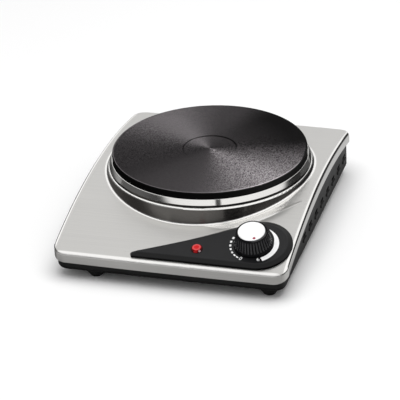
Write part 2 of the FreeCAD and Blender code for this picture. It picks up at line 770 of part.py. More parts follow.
def knob_cap():
    """Slightly domed disc let into the top of the knob, with a hole for the pointer dot."""
    crown = KNOB_TOP + CAP_RISE
    profile = [(0, CAP_SEAT), (CAP_R, CAP_SEAT), (CAP_R, KNOB_TOP), (CAP_R - CAP_EDGE, crown), (0, crown)]
    hole = disc(DOT_R + SHAFT_PLAY, KNOB_TOP - DOT_SINK, crown + 1)
    return on_panel(turned(profile).cut(dot_place(hole)))


def dot_place(shape):
    a = math.radians(DOT_ANGLE)
    return shape.translated(V(DOT_RADIUS * math.sin(a), -DOT_RADIUS * math.cos(a), 0))


def knob_pointer():
    return on_panel(dot_place(disc(DOT_R, KNOB_TOP - DOT_SINK, KNOB_TOP + DOT_RISE)))


def knob_spring():
    """Flat spring between the shaft's flat and the socket."""
    low = SHAFT_FLAT + SHAFT_PLAY
    half = SPRING_WIDTH / 2
    return on_panel(box(-half, half, low, low + SPRING_T, SPRING_LOW, SHAFT_TOP))


def thermostat_shaft():
    plain = disc(SHAFT_R, THERMOSTAT_TOP + SHAFT_FOOT, SHAFT_FLAT_LOW)
    return on_panel(plain.fuse(dee(SHAFT_R, SHAFT_FLAT, SHAFT_FLAT_LOW, SHAFT_TOP)).removeSplitter())


def thermostat_body():
    """Moulded case with the neck that guides the shaft."""
    width, depth, height = THERMOSTAT
    low = THERMOSTAT_TOP - height
    case = box(-width / 2, width / 2, -depth / 2, depth / 2, low, THERMOSTAT_TOP)
    case = case.makeFillet(BLOCK_EDGE, edges_where(case, is_upright))
    neck = disc(NECK_R, THERMOSTAT_TOP, NECK_TOP)
    bore = disc(SHAFT_R + SHAFT_PLAY, THERMOSTAT_TOP - THERMOSTAT_POCKET, NECK_TOP + 1)
    return on_panel(case.fuse(neck).cut(bore).removeSplitter())


def thermostat_bracket():
    """Bridge under the cover, with two cheeks that hold the thermostat."""
    half = THERMOSTAT[0] / 2
    wide = half + BRACKET_EAR
    deep = BRACKET_HALF
    plate = box(-wide, wide, -deep, deep, BRACKET_LOW, 2.0).cut(disc(NECK_HOLE_R, -20, 20))
    plate = cut_all(plate, [disc(TAPPED_HOLE_R, -20, 20, 0, v) for v in (-SCREW_OFFSET, SCREW_OFFSET)])
    cheeks = [box(u, u + BRACKET_SHEET, -deep, deep, THERMOSTAT_TOP - THERMOSTAT[2], BRACKET_LOW)
              for u in (-half - BRACKET_SHEET, half)]
    bridge = plate.fuse(cheeks).removeSplitter()
    return on_panel(bridge).common(under_arch(COVER_SHEET))


def thermostat_tabs():
    back = THERMOSTAT[1] / 2
    half = TAB_WIDTH / 2
    n = THERMOSTAT_TAB_N
    tabs = [on_panel(box(u - half, u + half, back, back + THERMOSTAT_TAB_REACH, n, n + TAB_T))
            for u in (-THERMOSTAT_TAB_U, THERMOSTAT_TAB_U)]
    return Part.makeCompound(tabs)


def thermostat_screws():
    screws = []
    for v in (-SCREW_OFFSET, SCREW_OFFSET):
        head = disc(HEAD_R, PANEL_TOP, PANEL_TOP + HEAD_T, 0, v)
        screws.append(on_panel(head.fuse(disc(SCREW_R, -5, PANEL_TOP, 0, v)).removeSplitter()))
    return Part.makeCompound(screws)


def foot(x, y):
    """Tapered rubber foot with a recess for its screw."""
    profile = [
        (SCREW_HOLE_R, FOOT_RECESS),
        (HEAD_R + CLEARANCE, FOOT_RECESS),
        (HEAD_R + CLEARANCE, 0),
        (FOOT_BOTTOM_R - FOOT_EDGE, 0),
        (FOOT_BOTTOM_R, FOOT_EDGE),
        (FOOT_TOP_R, TRAY_Z - FOOT_BAND),
        (FOOT_TOP_R, TRAY_Z),
        (SCREW_HOLE_R, TRAY_Z),
    ]
    return turned(profile).translated(V(x, y, 0))


def foot_screws():
    screws = []
    for x, y in foot_places().values():
        head = disc(HEAD_R, FOOT_RECESS - HEAD_T, FOOT_RECESS, x, y)
        screws.append(head.fuse(disc(SCREW_R, FOOT_RECESS, FOOT_SCREW_TOP, x, y)).removeSplitter())
    return Part.makeCompound(screws)


def foot_nuts():
    nuts = []
    for x, y in foot_places().values():
        nut = hexagon(SMALL_NUT_FLATS, FLOOR_Z, FLOOR_Z + SMALL_NUT_T, x, y)
        nuts.append(nut.cut(disc(SCREW_R + SHAFT_PLAY, 0, 20, x, y)))
    return Part.makeCompound(nuts)


def cover_leg(x, y):
    """Angle that hangs from the cover and takes a screw through the tray's floor."""
    inward = -math.copysign(1.0, x)
    y0, y1 = y - LEG_WIDTH / 2, y + LEG_WIDTH / 2
    toe = sorted((x, x + inward * LEG_TOE))
    upright = sorted((x, x + inward * LEG_SHEET))
    hole = disc(TAPPED_HOLE_R, 0, 20, *leg_screw_place(x, y))
    foot_plate = box(toe[0], toe[1], y0, y1, FLOOR_Z, FLOOR_Z + LEG_SHEET).cut(hole)
    web = box(upright[0], upright[1], y0, y1, FLOOR_Z, 80)
    ear = box(toe[0], toe[1], y0, y1, 20, 80).cut(under_arch(COVER_SHEET + LEG_SHEET))
    return foot_plate.fuse([web, ear]).common(under_arch(COVER_SHEET)).removeSplitter()


def cover_legs():
    return Part.makeCompound([cover_leg(x, y) for x, y in leg_places()])


def base_screws():
    screws = []
    for x, y in leg_places():
        sx, sy = leg_screw_place(x, y)
        head = disc(HEAD_R, TRAY_Z - HEAD_T, TRAY_Z, sx, sy)
        screws.append(head.fuse(disc(SCREW_R, TRAY_Z, LEG_SCREW_TOP, sx, sy)).removeSplitter())
    return Part.makeCompound(screws)


def mains_terminal_block():
    x0, x1, y0, y1 = MAINS_BLOCK
    block = box(x0, x1, y0, y1, FLOOR_Z, FLOOR_Z + MAINS_BLOCK_T)
    block = block.makeFillet(BLOCK_EDGE, edges_where(block, is_upright))
    wells = [disc(MAINS_WELL_R, FLOOR_Z + MAINS_WELL_LOW, 40, x, (y0 + y1) / 2) for x in mains_ways()]
    return cut_all(block, wells)


def mains_ways():
    x0, x1, _, _ = MAINS_BLOCK
    return [x0 + (x1 - x0) * k / 6 for k in (1, 3, 5)]


def mains_screws():
    y = (MAINS_BLOCK[2] + MAINS_BLOCK[3]) / 2
    low = FLOOR_Z + MAINS_WELL_LOW
    return Part.makeCompound([disc(MAINS_SCREW_R, low, low + MAINS_SCREW_T, x, y) for x in mains_ways()])


def cord_gland():
    """Snap-in bush in the rear wall."""
    profile = [
        (GLAND_BORE_R, -GLAND_TAIL),
        (GLAND_HOLE_R - CLEARANCE, -GLAND_TAIL),
        (GLAND_HOLE_R + GLAND_BARB, -TRAY_WALL - GLAND_BARB_T),
        (GLAND_HOLE_R + GLAND_BARB, -TRAY_WALL),
        (GLAND_HOLE_R - CLOSE_FIT, -TRAY_WALL),
        (GLAND_HOLE_R - CLOSE_FIT, 0),
        (GLAND_FLANGE_R, 0),
        (GLAND_FLANGE_R, GLAND_FLANGE_EDGE),
        (GLAND_FLANGE_R - GLAND_FLANGE_EDGE, GLAND_FLANGE_T),
        (GLAND_BORE_R, GLAND_FLANGE_T),
    ]
    gland = turned(profile)
    gland.rotate(V(0, 0, 0), X_AXIS, -90)
    return gland.translated(V(GLAND_X, TRAY_REAR_Y, GLAND_Z))


def earth_lug():
    face = LEG_X - LEG_SHEET
    half = EARTH_LUG_HALF
    low = EARTH_LUG_Z - half
    return box(face - TAB_T, face, EARTH_LUG_Y - half, EARTH_LUG_Y + half, low, low + 2 * half)


def lead(points, diameter):
    """Insulated wire along straight runs joined by tangent arcs, each as large as its runs allow."""
    points = [V(*p) for p in points]
    edges = []
    start = points[0]
    for before, corner, after in zip(points, points[1:], points[2:]):
        back = (before - corner).normalize()
        ahead = (after - corner).normalize()
        half_turn = (math.pi - back.getAngle(ahead)) / 2
        reach = 0.45 * min((before - corner).Length, (after - corner).Length)
        radius = reach / math.tan(half_turn)
        middle = (back + ahead).normalize()
        inset = radius / math.cos(half_turn) - radius
        first, last = corner + back * reach, corner + ahead * reach
        edges.append(Part.LineSegment(start, first).toShape())
        edges.append(Part.Arc(first, corner + middle * inset, last).toShape())
        start = last
    edges.append(Part.LineSegment(start, points[-1]).toShape())
    path = Part.Wire(edges)
    section = Part.Wire(Part.makeCircle(diameter / 2, points[0], points[1] - points[0]))
    wire = path.makePipeShell([section], True, False)
    expected = path.Length * math.pi * diameter ** 2 / 4
    print(f"wire: length {path.Length:.0f} mm, volume {wire.Volume / expected:.3f} of section times length")
    return wire


def panel_point(u, v, n):
    return PANEL_PLACE.multVec(V(u, v, n))


def thermostat_wire_start(u):
    """End of a thermostat tab, and a point straight out from it."""
    tip = THERMOSTAT[1] / 2 + THERMOSTAT_TAB_REACH
    n = THERMOSTAT_TAB_N + TAB_T / 2
    return [panel_point(u, tip, n), panel_point(u, tip + 10, n)]


def live_wire():
    block_x = mains_ways()[1]
    front = MAINS_BLOCK[2]
    route = [(84, -44, 22), (87, -18, 15), (84, 14, 14), (72, 44, 14), (55, 64, 14.4)]
    end = [(block_x, front - 12, MAINS_WIRE_Z), (block_x, front, MAINS_WIRE_Z)]
    return lead(thermostat_wire_start(THERMOSTAT_TAB_U) + route + end, WIRE_D)


def switched_wire():
    tab_front = PLATE_BLOCK[2] - TAB_REACH
    route = [(53, -62, 30), (36, -68, 35), (25, -75, 44), (16, -72, 51), (PLATE_TAB_X, -62, PLATE_WIRE_Z)]
    end = [(PLATE_TAB_X, tab_front, PLATE_WIRE_Z)]
    return lead(thermostat_wire_start(-THERMOSTAT_TAB_U) + route + end, WIRE_D)


def neutral_wire():
    block_x = mains_ways()[0]
    front = MAINS_BLOCK[2]
    tab_front = PLATE_BLOCK[2] - TAB_REACH
    start = [(block_x, front, MAINS_WIRE_Z), (block_x, front - 12, MAINS_WIRE_Z)]
    route = [(34, 52, 14), (18, 18, 13.8), (4, -16, 14), (-8, -48, 15.5), (-14, -70, 23)]
    rise = [(-15, -78, 36), (-14, -75, 47), (-PLATE_TAB_X, -63, PLATE_WIRE_Z)]
    return lead(start + route + rise + [(-PLATE_TAB_X, tab_front, PLATE_WIRE_Z)], WIRE_D)


def earth_wire():
    block_x = mains_ways()[2]
    front = MAINS_BLOCK[2]
    lug_x = LEG_X - LEG_SHEET - TAB_T
    start = [(block_x, front, MAINS_WIRE_Z), (block_x, front - 9, MAINS_WIRE_Z)]
    route = [(68, 74, 16), (78, 76, 18.5), (86, EARTH_LUG_Y, EARTH_LUG_Z)]
    return lead(start + route + [(lug_x, EARTH_LUG_Y, EARTH_LUG_Z)], WIRE_D)


def lamp_leads():
    """Two thin leads: one to the thermostat's case, one to the mains block."""
    u, v = LAMP
    low = LENS_STEM_LOW
    side = -THERMOSTAT[0] / 2
    entry = (side, 14.5, -13.0)
    near = [(u + LEAD_APART, v, low), (u + LEAD_APART, v, low - 6), (u + 10, v + 9, low - 7.5)]
    near += [(u + 22, v + 18, low - 6), (side - 8, 14.5, -13.0), entry]
    far = [panel_point(u - LEAD_APART, v, low), panel_point(u - LEAD_APART, v, low - 6)]
    far += [V(26, -98, 12), V(27, -62, 11.2), V(24, -16, 11.4), V(26, 30, 11.2), V(32, 66, 12)]
    block_x = MAINS_BLOCK[0] + 1.9
    front = MAINS_BLOCK[2]
    far += [V(block_x, front - 12, 13), V(block_x, front, 13)]
    return Part.makeCompound([lead([panel_point(*p) for p in near], LEAD_D), lead(far, LEAD_D)])


NODES = {
    "top_cover": top_cover,
    "base_tray": base_tray,
    "hot_plate": hot_plate,
    "trim_ring": trim_ring,
    "heating_coil": heating_coil,
    "coil_filling": coil_filling,
    "plate_bottom_cover": plate_bottom_cover,
    "plate_stud": plate_stud,
    "clamp_bridge": clamp_bridge,
    "heat_shield": heat_shield,
    "clamp_washer": clamp_washer,
    "clamp_nut": clamp_nut,
    "plate_terminal_block": plate_terminal_block,
    "plate_tabs": plate_tabs,
    "thermal_cutout": thermal_cutout,
    "control_panel": control_panel,
    "pilot_lens": pilot_lens,
    "pilot_lamp": pilot_lamp,
    "lamp_clip": lamp_clip,
    "control_knob": control_knob,
    "knob_cap": knob_cap,
    "knob_pointer": knob_pointer,
    "knob_spring": knob_spring,
    "thermostat_shaft": thermostat_shaft,
    "thermostat_body": thermostat_body,
    "thermostat_bracket": thermostat_bracket,
    "thermostat_tabs": thermostat_tabs,
    "thermostat_screws": thermostat_screws,
    "foot_screws": foot_screws,
    "foot_nuts": foot_nuts,
    "cover_legs": cover_legs,
    "base_screws": base_screws,
    "mains_terminal_block": mains_terminal_block,
    "mains_screws": mains_screws,
    "cord_gland": cord_gland,
    "earth_lug": earth_lug,
    "live_wire": live_wire,
    "switched_wire": switched_wire,
    "neutral_wire": neutral_wire,
    "earth_wire": earth_wire,
    "lamp_leads": lamp_leads,
}


def main():
    os.makedirs("parts", exist_ok=True)
    shapes = {name: make() for name, make in NODES.items()}
    shapes.update({name: foot(x, y) for name, (x, y) in foot_places().items()})
    for name, shape in shapes.items():
        print(f"{name}: solids {len(shape.Solids)}, valid {shape.isValid()}, volume {shape.Volume:.0f} mm3")
        shape.exportStep(f"parts/{name}.step")


main()
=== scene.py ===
import functools
import json
import math
from collections import namedtuple

import bmesh
import bpy
from bpy.props import FloatProperty, FloatVectorProperty, IntProperty, PointerProperty
from mathutils import Matrix, Vector


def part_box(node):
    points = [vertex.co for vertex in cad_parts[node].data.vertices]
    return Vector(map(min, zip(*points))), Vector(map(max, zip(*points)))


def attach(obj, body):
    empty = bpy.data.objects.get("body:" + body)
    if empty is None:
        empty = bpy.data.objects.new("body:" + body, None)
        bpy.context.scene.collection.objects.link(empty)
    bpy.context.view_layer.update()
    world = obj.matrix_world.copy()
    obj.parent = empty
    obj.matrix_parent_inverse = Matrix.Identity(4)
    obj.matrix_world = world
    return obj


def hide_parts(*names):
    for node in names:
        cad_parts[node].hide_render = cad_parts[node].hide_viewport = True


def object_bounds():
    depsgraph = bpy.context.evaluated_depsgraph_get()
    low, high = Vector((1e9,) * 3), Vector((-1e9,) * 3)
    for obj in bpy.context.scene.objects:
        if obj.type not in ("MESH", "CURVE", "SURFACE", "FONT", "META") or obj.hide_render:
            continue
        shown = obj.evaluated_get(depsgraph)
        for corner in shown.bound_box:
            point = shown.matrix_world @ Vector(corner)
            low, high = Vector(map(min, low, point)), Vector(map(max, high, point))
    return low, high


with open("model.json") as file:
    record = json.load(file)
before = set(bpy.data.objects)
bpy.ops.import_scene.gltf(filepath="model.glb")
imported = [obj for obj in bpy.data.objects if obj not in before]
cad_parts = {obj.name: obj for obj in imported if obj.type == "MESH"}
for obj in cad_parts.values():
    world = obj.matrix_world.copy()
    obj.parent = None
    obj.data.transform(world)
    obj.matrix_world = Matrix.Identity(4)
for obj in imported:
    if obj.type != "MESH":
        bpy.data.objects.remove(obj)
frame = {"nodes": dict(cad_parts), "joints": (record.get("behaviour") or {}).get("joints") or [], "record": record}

bl_info = {
    "name": "Hot Plate Burner",
    "version": (1, 0, 0),
    "blender": (4, 5, 0),
    "location": "View3D > Sidebar > Hot Plate",
    "description": "Dresses the hot plate burner with its finishes, printed dial and studio",
    "category": "Object",
}

CAD_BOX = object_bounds()
HALF_WIDTH, HALF_DEPTH = CAD_BOX[1][0], CAD_BOX[1][1]
PLATE_LOW, PLATE_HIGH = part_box("hot_plate")
TRIM_LOW, TRIM_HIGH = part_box("trim_ring")
PLATE_CENTRE = Vector(((PLATE_LOW.x + PLATE_HIGH.x) / 2, (PLATE_LOW.y + PLATE_HIGH.y) / 2, 0.0))
KNOB_JOINT = frame["joints"][0]
KNOB_SPOT = Vector(KNOB_JOINT["pos_m"])
KNOB_AXIS = Vector(KNOB_JOINT["axis"]).normalized()
SLOT_OF_NODE = {row["node"]: row["material_slot"] for row in frame["record"]["subparts"]}
ARCH_RADIUS = 0.515
ARCH_CREST = Vector((0.0, 0.028, 0.0547))
UP = Vector((0.0, 0.0, 1.0))
LEVEL = Vector((1.0, 1.0, 0.0))
TURN = 2 * math.pi
CREASE = math.radians(32)  # edges sharper than this stay sharp

RISE, FALL = (0.0, 1.0), (1.0, 0.0)
MIDDLING = (0.3, 0.7)  # most of a noise's values lie in this span
MIX_SOCKETS = {"FLOAT": (2, 3, 0), "VECTOR": (4, 5, 1), "RGBA": (6, 7, 2)}  # two inputs and the output

# Grain of a plain finish: its scale and height, the scale of the clouds under it, what the roughness follows,
# how far it goes below and above its middle, and how much the tone drifts.
Grain = namedtuple("Grain", "scale height clouds follows below above drift")
ENAMEL_GRAIN = Grain(500.0, 0.00002, 40.0, "Cloud", 0.05, 0.06, 0.22)
PANEL_GRAIN = ENAMEL_GRAIN._replace(scale=900.0, height=0.000006)
KNOB_GRAIN = ENAMEL_GRAIN._replace(scale=1200.0, height=0.000006)
RUBBER_GRAIN = ENAMEL_GRAIN._replace(scale=700.0, height=0.00003)
METAL_GRAIN = Grain(700.0, 0.000006, 90.0, "Cloud", 0.07, 0.08, 0.12)
MATT_GRAIN = Grain(800.0, 0.00001, 60.0, "Speckle", 0.05, 0.05, 0.14)
CAP_GRAIN = Grain(1500.0, 0.0, 120.0, "Speckle", 0.05, 0.05, 0.02)

# Patches on the plate, of painted light (paler), of coarse grit, and of painted shade (dark): the way to each from
# the middle, the nearness to that way at which it starts and is full, and how strong it is.
PAINTED_LIGHT_PATCHES = (
    ((0.10, -0.99, 0.0), (0.60, 0.95), 0.50),
    ((0.97, -0.24, 0.0), (0.80, 0.97), 0.80),
    ((-0.50, 0.87, 0.0), (0.40, 0.90), 0.18),
)
COARSE_PATCHES = (
    ((0.94, -0.34, 0.0), (0.30, 0.90), 1.0),
    ((-0.99, -0.12, 0.0), (0.70, 0.95), 0.6),
)
PAINTED_SHADE_PATCH = ((0.76, 0.65, 0.0), (0.70, 0.94), 1.0)


def length(name, description, default):
    return FloatProperty(name=name, description=description, default=default, unit="LENGTH", precision=5)


def angle(name, description, degrees):
    return FloatProperty(name=name, description=description, default=math.radians(degrees), subtype="ANGLE")


def colour(name, description, default):
    return FloatVectorProperty(name=name, description=description, default=default, subtype="COLOR",
                               size=3, min=0.0, max=1.0)


def amount(name, description, default):
    return FloatProperty(name=name, description=description, default=default, min=0.0)


def count(name, description, default, least):
    return IntProperty(name=name, description=description, default=default, min=least)


def spot(name, description, default):
    return FloatVectorProperty(name=name, description=description, default=default, size=len(default),
                               unit="LENGTH", precision=5)


class PlateSizes(bpy.types.PropertyGroup):
    """Sizes of the cast plate and the rolled ring round it."""

    radius: length("Radius", "Outer radius of the cast plate", (PLATE_HIGH.x - PLATE_LOW.x) / 2)
    top: length("Top", "Height of the turned face", PLATE_HIGH.z)
    seat: length("Seat", "Height of the face that rests on the ring", 0.0636)
    hub_radius: length("Hub radius", "Radius of the hub below the plate", 0.084)
    edge: length("Edge rounding", "Rounding of the plate's upper edge", 0.0011)
    dimple_radius: length("Dimple radius", "Radius of the sunk middle", 0.026)
    dimple_depth: length("Dimple depth", "Depth of the sunk middle", 0.0008)
    ring_radius: length("Ring radius", "Outer radius of the ring's skirt", TRIM_HIGH.x)
    ring_top: length("Ring top", "Height of the ring's lip", TRIM_HIGH.z)
    ring_sheet: length("Ring sheet", "Thickness of the ring's sheet", 0.0008)
    steps: count("Steps", "Segments round the plate and its ring", 180, 24)


class PanelSizes(bpy.types.PropertyGroup):
    """Sizes of the drop-shaped panel in its own plane, measured from the knob's axis."""

    rim: length("Rim", "Height of the bevel's foot over the cover", 0.0016)
    face: length("Face", "Height of the flat face over the cover", 0.0032)
    edge: length("Edge rounding", "Rounding at both sides of the bevel", 0.0004)
    border: length("Border", "Flat band inside the bevel", 0.0008)
    middle: spot("Round middle", "Middle of the round end", (0.0052, 0.0021))
    rim_round: length("Rim round", "Radius of the round end at the rim", 0.0308)
    flat_round: length("Flat round", "Radius of the round end at the flat face", 0.0260)
    rim_tip: length("Rim tip", "Where the narrow end's round lies at the rim", -0.1082)
    flat_tip: length("Flat tip", "Where the narrow end's round lies at the flat face", -0.1030)
    rim_tip_round: length("Rim tip round", "Radius of the narrow end at the rim", 0.0027)
    flat_tip_round: length("Flat tip round", "Radius of the narrow end at the flat face", 0.0009)
    rim_upper: spot("Rim upper edge", "Middle of the hollow upper edge at the rim", (-0.0606, -0.0004))
    flat_upper: spot("Flat upper edge", "Middle of that edge at the flat face", (-0.0585, -0.0013))
    tip_slope: angle("Tip slope", "Slope of the upper edge at the narrow end", 22.5)
    upper_slope: angle("Upper slope", "Slope of the upper edge at the round end", 33.5)
    neck: length("Neck hole", "Radius of the hole for the knob's shaft", 0.0052)


class LensSizes(bpy.types.PropertyGroup):
    """Sizes of the pilot lens, along the panel's normal."""

    place: spot("Place", "Where the lens sits in the panel's plane", (-0.0504, -0.0129))
    radius: length("Radius", "Radius of the button", 0.0044)
    rise: length("Rise", "Height of the button over the panel", 0.0022)
    edge: length("Edge rounding", "Rounding of the button's edge", 0.0009)
    flange: length("Flange radius", "Radius of the flange", 0.0056)
    flange_rise: length("Flange rise", "Thickness of the flange", 0.0008)
    stem: length("Stem radius", "Radius of the stem through the panel", 0.0036)
    play: length("Play", "Room between the stem and the panel's hole", 0.0003)


class KnobSizes(bpy.types.PropertyGroup):
    """Sizes of the knob. Heights are over the cover, along the knob's axis."""

    low: length("Foot", "Height of the skirt's underside", 0.0039)
    skirt: length("Skirt radius", "Outer radius of the skirt", 0.018)
    skirt_edge: length("Skirt edge", "Height of the skirt's outer edge", 0.0053)
    skirt_top: length("Skirt top", "Height where the skirt meets the grip", 0.0060)
    grip: length("Grip radius", "Radius of the grip at its foot", 0.0175)
    grip_top: length("Grip top radius", "Radius of the grip at its rim", 0.0143)
    top: length("Top", "Height of the rim", 0.020)
    ribs: count("Ribs", "Ribs round the grip", 36, 6)
    rib_steps: count("Rib steps", "Segments across one rib and its groove", 10, 6)
    groove_depth: length("Groove depth", "Depth of the grooves between the ribs", 0.0006)
    groove_share: amount("Groove share", "Share of the pitch that a groove takes", 0.42)
    groove_low: length("Groove foot", "Height of the grooves' lower end", 0.0066)
    groove_high: length("Groove head", "Height of the grooves' upper end", 0.0184)
    cap: length("Cap radius", "Radius of the light disc in the top", 0.0126)
    cap_seat: length("Cap seat", "Height of the seat under the disc", 0.0188)
    crown: length("Crown", "Height of the disc's face", 0.0203)
    dot: length("Dot radius", "Radius of the red dot in the disc", 0.00135)
    dot_rise: length("Dot rise", "How far the dot stands over the disc's face", 0.0001)


class DialSizes(bpy.types.PropertyGroup):
    """Sizes of the print round the knob. Angles run clockwise from the front, seen from outside."""

    sweep_radius: length("Sweep radius", "Outer radius of the growing band", 0.0238)
    sweep_width: length("Sweep width", "Width of the band at its thick end", 0.0047)
    sweep_taper: amount("Sweep taper", "Share of the band's length in which it grows from a point", 0.40)
    sweep_start: angle("Sweep start", "Where the band starts as a point", 205)
    sweep_end: angle("Sweep end", "Where the band ends at full width", 326)
    mark_radius: length("Mark radius", "Radius of the row of marks", 0.0211)
    mark_start: angle("First mark", "Where the row of marks starts", 30.7)
    mark_end: angle("Last mark", "Where the row of marks ends", 106)
    mark_spread: amount("Mark spread", "How much wider the marks stand towards the row's end", 1.13)
    marks: count("Marks", "Marks in the row", 7, 2)
    figure: length("Figure size", "Type size of the two figures", 0.0056)


class Colours(bpy.types.PropertyGroup):
    """Colours of the main finishes, as linear values."""

    steel: colour("Steel", "Brushed cover", (0.60, 0.592, 0.575))
    # Painted highlight: steel far brighter than the sheet, on the upper half of the rolled edge, on the drum with
    # its foot and the swell's face, and on the drum's wall where polished faces see it
    painted_highlight_steel: colour("Polish", "Polished edges of the cover and its drum", (0.95, 0.94, 0.92))
    # Painted reflection: the cover drawn dark where polished faces see it
    painted_reflection_steel: colour("Steel in the drum", "Cover as polished faces see it", (0.11, 0.106, 0.102))
    # Painted shade: the drum's wall is the cover's own steel, drawn darker
    drum: colour("Drum", "Spun wall that carries the plate", (0.30, 0.285, 0.268))
    bright: colour("Bright steel", "Rolled ring", (0.80, 0.79, 0.77))
    iron: colour("Iron", "Blackened cast plate", (0.0312, 0.0289, 0.0300))
    enamel: colour("Enamel", "Base tray", (0.007, 0.007, 0.007))
    panel: colour("Panel", "Control panel", (0.0080, 0.0080, 0.0088))
    knob: colour("Knob", "Knob's moulding", (0.008, 0.008, 0.009))
    cap: colour("Cap", "Disc in the knob", (0.93, 0.93, 0.93))
    lens: colour("Lens", "Pilot lens", (0.56, 0.010, 0.012))
    print: colour("Print", "Dial print", (0.86, 0.86, 0.86))


class Studio(bpy.types.PropertyGroup):
    """Camera and light."""

    aim: spot("Aim", "Point that the camera looks at", (-0.00567, -0.00573, 0.02508))
    distance: length("Distance", "From the aim to the camera", 2.2)
    azimuth: angle("Azimuth", "Camera's turn to the right of the front", 17.405)
    elevation: angle("Elevation", "Camera's height over the horizon", 28.008)
    roll: angle("Roll", "Camera's tilt about its own line of sight", -2.755)
    lens: FloatProperty(name="Lens", description="Focal length", default=205.33, subtype="DISTANCE_CAMERA")
    sky: amount("Sky", "Light from the white surround", 0.5)
    fill_light: amount("Fill light", "Power of the broad light overhead", 34.0)
    plate_key: amount("Plate key", "Power of the lamp that fans over the plate", 33.0)
    plate_rim: amount("Plate rim", "Power of the lamp behind the plate", 8.0)


# Nodes

class Net:
    """Short calls for the nodes of one tree. A value is a number, a vector, a colour or a socket."""

    def __init__(self, tree):
        self.tree = tree

    def put(self, value, socket):
        """Link a socket, or give it a value of its own."""
        if isinstance(value, bpy.types.NodeSocket):
            self.tree.links.new(value, socket)
        else:
            socket.default_value = (*value[:3], 1.0) if socket.type == "RGBA" else value

    def add(self, kind, inputs=None, **settings):
        """New node with its settings, and its inputs by name or number."""
        node = self.tree.nodes.new(kind)
        for key, value in settings.items():
            setattr(node, key, value)
        for socket, value in (inputs or {}).items():
            self.put(value, node.inputs[socket])
        return node

    def feed(self, node, **values):
        """Inputs of a node that is there, by name."""
        for socket, value in values.items():
            self.put(value, node.inputs[socket.replace("_", " ")])

    def group(self, name, **values):
        """A shared effect and its outputs."""
        node = self.add("ShaderNodeGroup", node_tree=bpy.data.node_groups[name])
        self.feed(node, **values)
        return node.outputs

    @functools.cached_property
    def place(self):
        """Where a point lies on its object."""
        return self.add("ShaderNodeTexCoord").outputs["Object"]

    def parts(self, vector):
        return self.add("ShaderNodeSeparateXYZ", {0: vector}).outputs

    def noise(self, inputs, **settings):
        return self.add("ShaderNodeTexNoise", inputs, **settings).outputs[0]

    def math(self, operation, first, second=0.0):
        return self.add("ShaderNodeMath", {0: first, 1: second}, operation=operation).outputs[0]

    def plus(self, *values):
        return functools.reduce(functools.partial(self.math, "ADD"), values)

    def minus(self, first, second):
        return self.math("SUBTRACT", first, second)

    def times(self, *values):
        return functools.reduce(functools.partial(self.math, "MULTIPLY"), values)

    def most(self, *values):
        return functools.reduce(functools.partial(self.math, "MAXIMUM"), values)

    def vector(self, operation, first, second=(0.0, 0.0, 0.0)):
        node = self.add("ShaderNodeVectorMath", {0: first, 1: second}, operation=operation)
        return node.outputs["Value" if operation in ("LENGTH", "DOT_PRODUCT") else "Vector"]

    def length(self, vector):
        return self.vector("LENGTH", vector)

    def unit(self, vector):
        return self.vector("NORMALIZE", vector)

    def fade(self, value, span, to=RISE, soft=False):
        """Takes a value from one span to another and holds it at the ends."""
        inputs = {"Value": value, "From Min": span[0], "From Max": span[1], "To Min": to[0], "To Max": to[1]}
        shape = "SMOOTHSTEP" if soft else "LINEAR"
        return self.add("ShaderNodeMapRange", inputs, interpolation_type=shape).outputs["Result"]

    def ease(self, value, span, to=RISE):
        return self.fade(value, span, to, soft=True)

    def band(self, value, up, down, soft=False):
        """Rises over one span and falls over the next."""
        return self.times(self.fade(value, up, RISE, soft), self.fade(value, down, FALL, soft))

    def towards(self, way, direction, span, strength=1.0):
        """Grows as a way nears a direction."""
        return self.ease(self.vector("DOT_PRODUCT", way, direction), span, (0.0, strength))

    def mix(self, factor, first, second, kind="FLOAT", blend="MIX"):
        one, two, result = MIX_SOCKETS[kind]
        inputs = {"Factor": factor, one: first, two: second}
        return self.add("ShaderNodeMix", inputs, data_type=kind, blend_type=blend).outputs[result]

    def blend(self, factor, first, second, blend="MIX"):
        return self.mix(factor, first, second, "RGBA", blend)

    def tinted(self, value, tone, depth):
        """The tone, made a little darker and lighter by a value about one half."""
        light = tuple(min(1.0, c) for c in shade(tone, 1 + depth))
        return self.blend(self.fade(value, MIDDLING), shade(tone, 1 - depth), light)

    def bump(self, height, distance):
        inputs = {"Height": height, "Distance": distance, "Strength": 1.0}
        return self.add("ShaderNodeBump", inputs).outputs["Normal"]


def shade(tone, factor):
    return tuple(factor * c for c in tone)


def new_material(name, **constants):
    """Material with a Principled shader, whose constants are set on its own sockets."""
    material = bpy.data.materials.new(name)
    material.use_nodes = True
    net = Net(material.node_tree)
    shader = net.tree.nodes["Principled BSDF"]
    net.feed(shader, **constants)
    return material, net, shader


# Shared effects

def new_group(name, inputs, outputs):
    """Empty node group with float or vector sockets and its two end nodes."""
    group = bpy.data.node_groups.new(name, "ShaderNodeTree")
    for socket, value in inputs.items():
        kind = "NodeSocketVector" if value is None else "NodeSocketFloat"
        made = group.interface.new_socket(socket, in_out="INPUT", socket_type=kind)
        if value is not None:
            made.default_value = value
    for socket in outputs:
        group.interface.new_socket(socket, in_out="OUTPUT", socket_type="NodeSocketFloat")
    ends = group.nodes.new("NodeGroupInput").outputs, group.nodes.new("NodeGroupOutput")
    return Net(group), *ends


def make_brushed_group():
    """Long fine scratches along X, as a belt leaves them."""
    inputs = {"Place": None, "Along": 5.0, "Across": 1500.0}
    net, given, result = new_group("Brushed Lines", inputs, ["Lines"])
    stretch = net.add("ShaderNodeCombineXYZ", {0: given["Along"], 1: given["Across"], 2: given["Across"]})
    place = net.vector("MULTIPLY", given["Place"], stretch.outputs[0])
    net.feed(result, Lines=net.noise({"Vector": place, "Scale": 1.0, "Detail": 3.0, "Roughness": 0.65}))


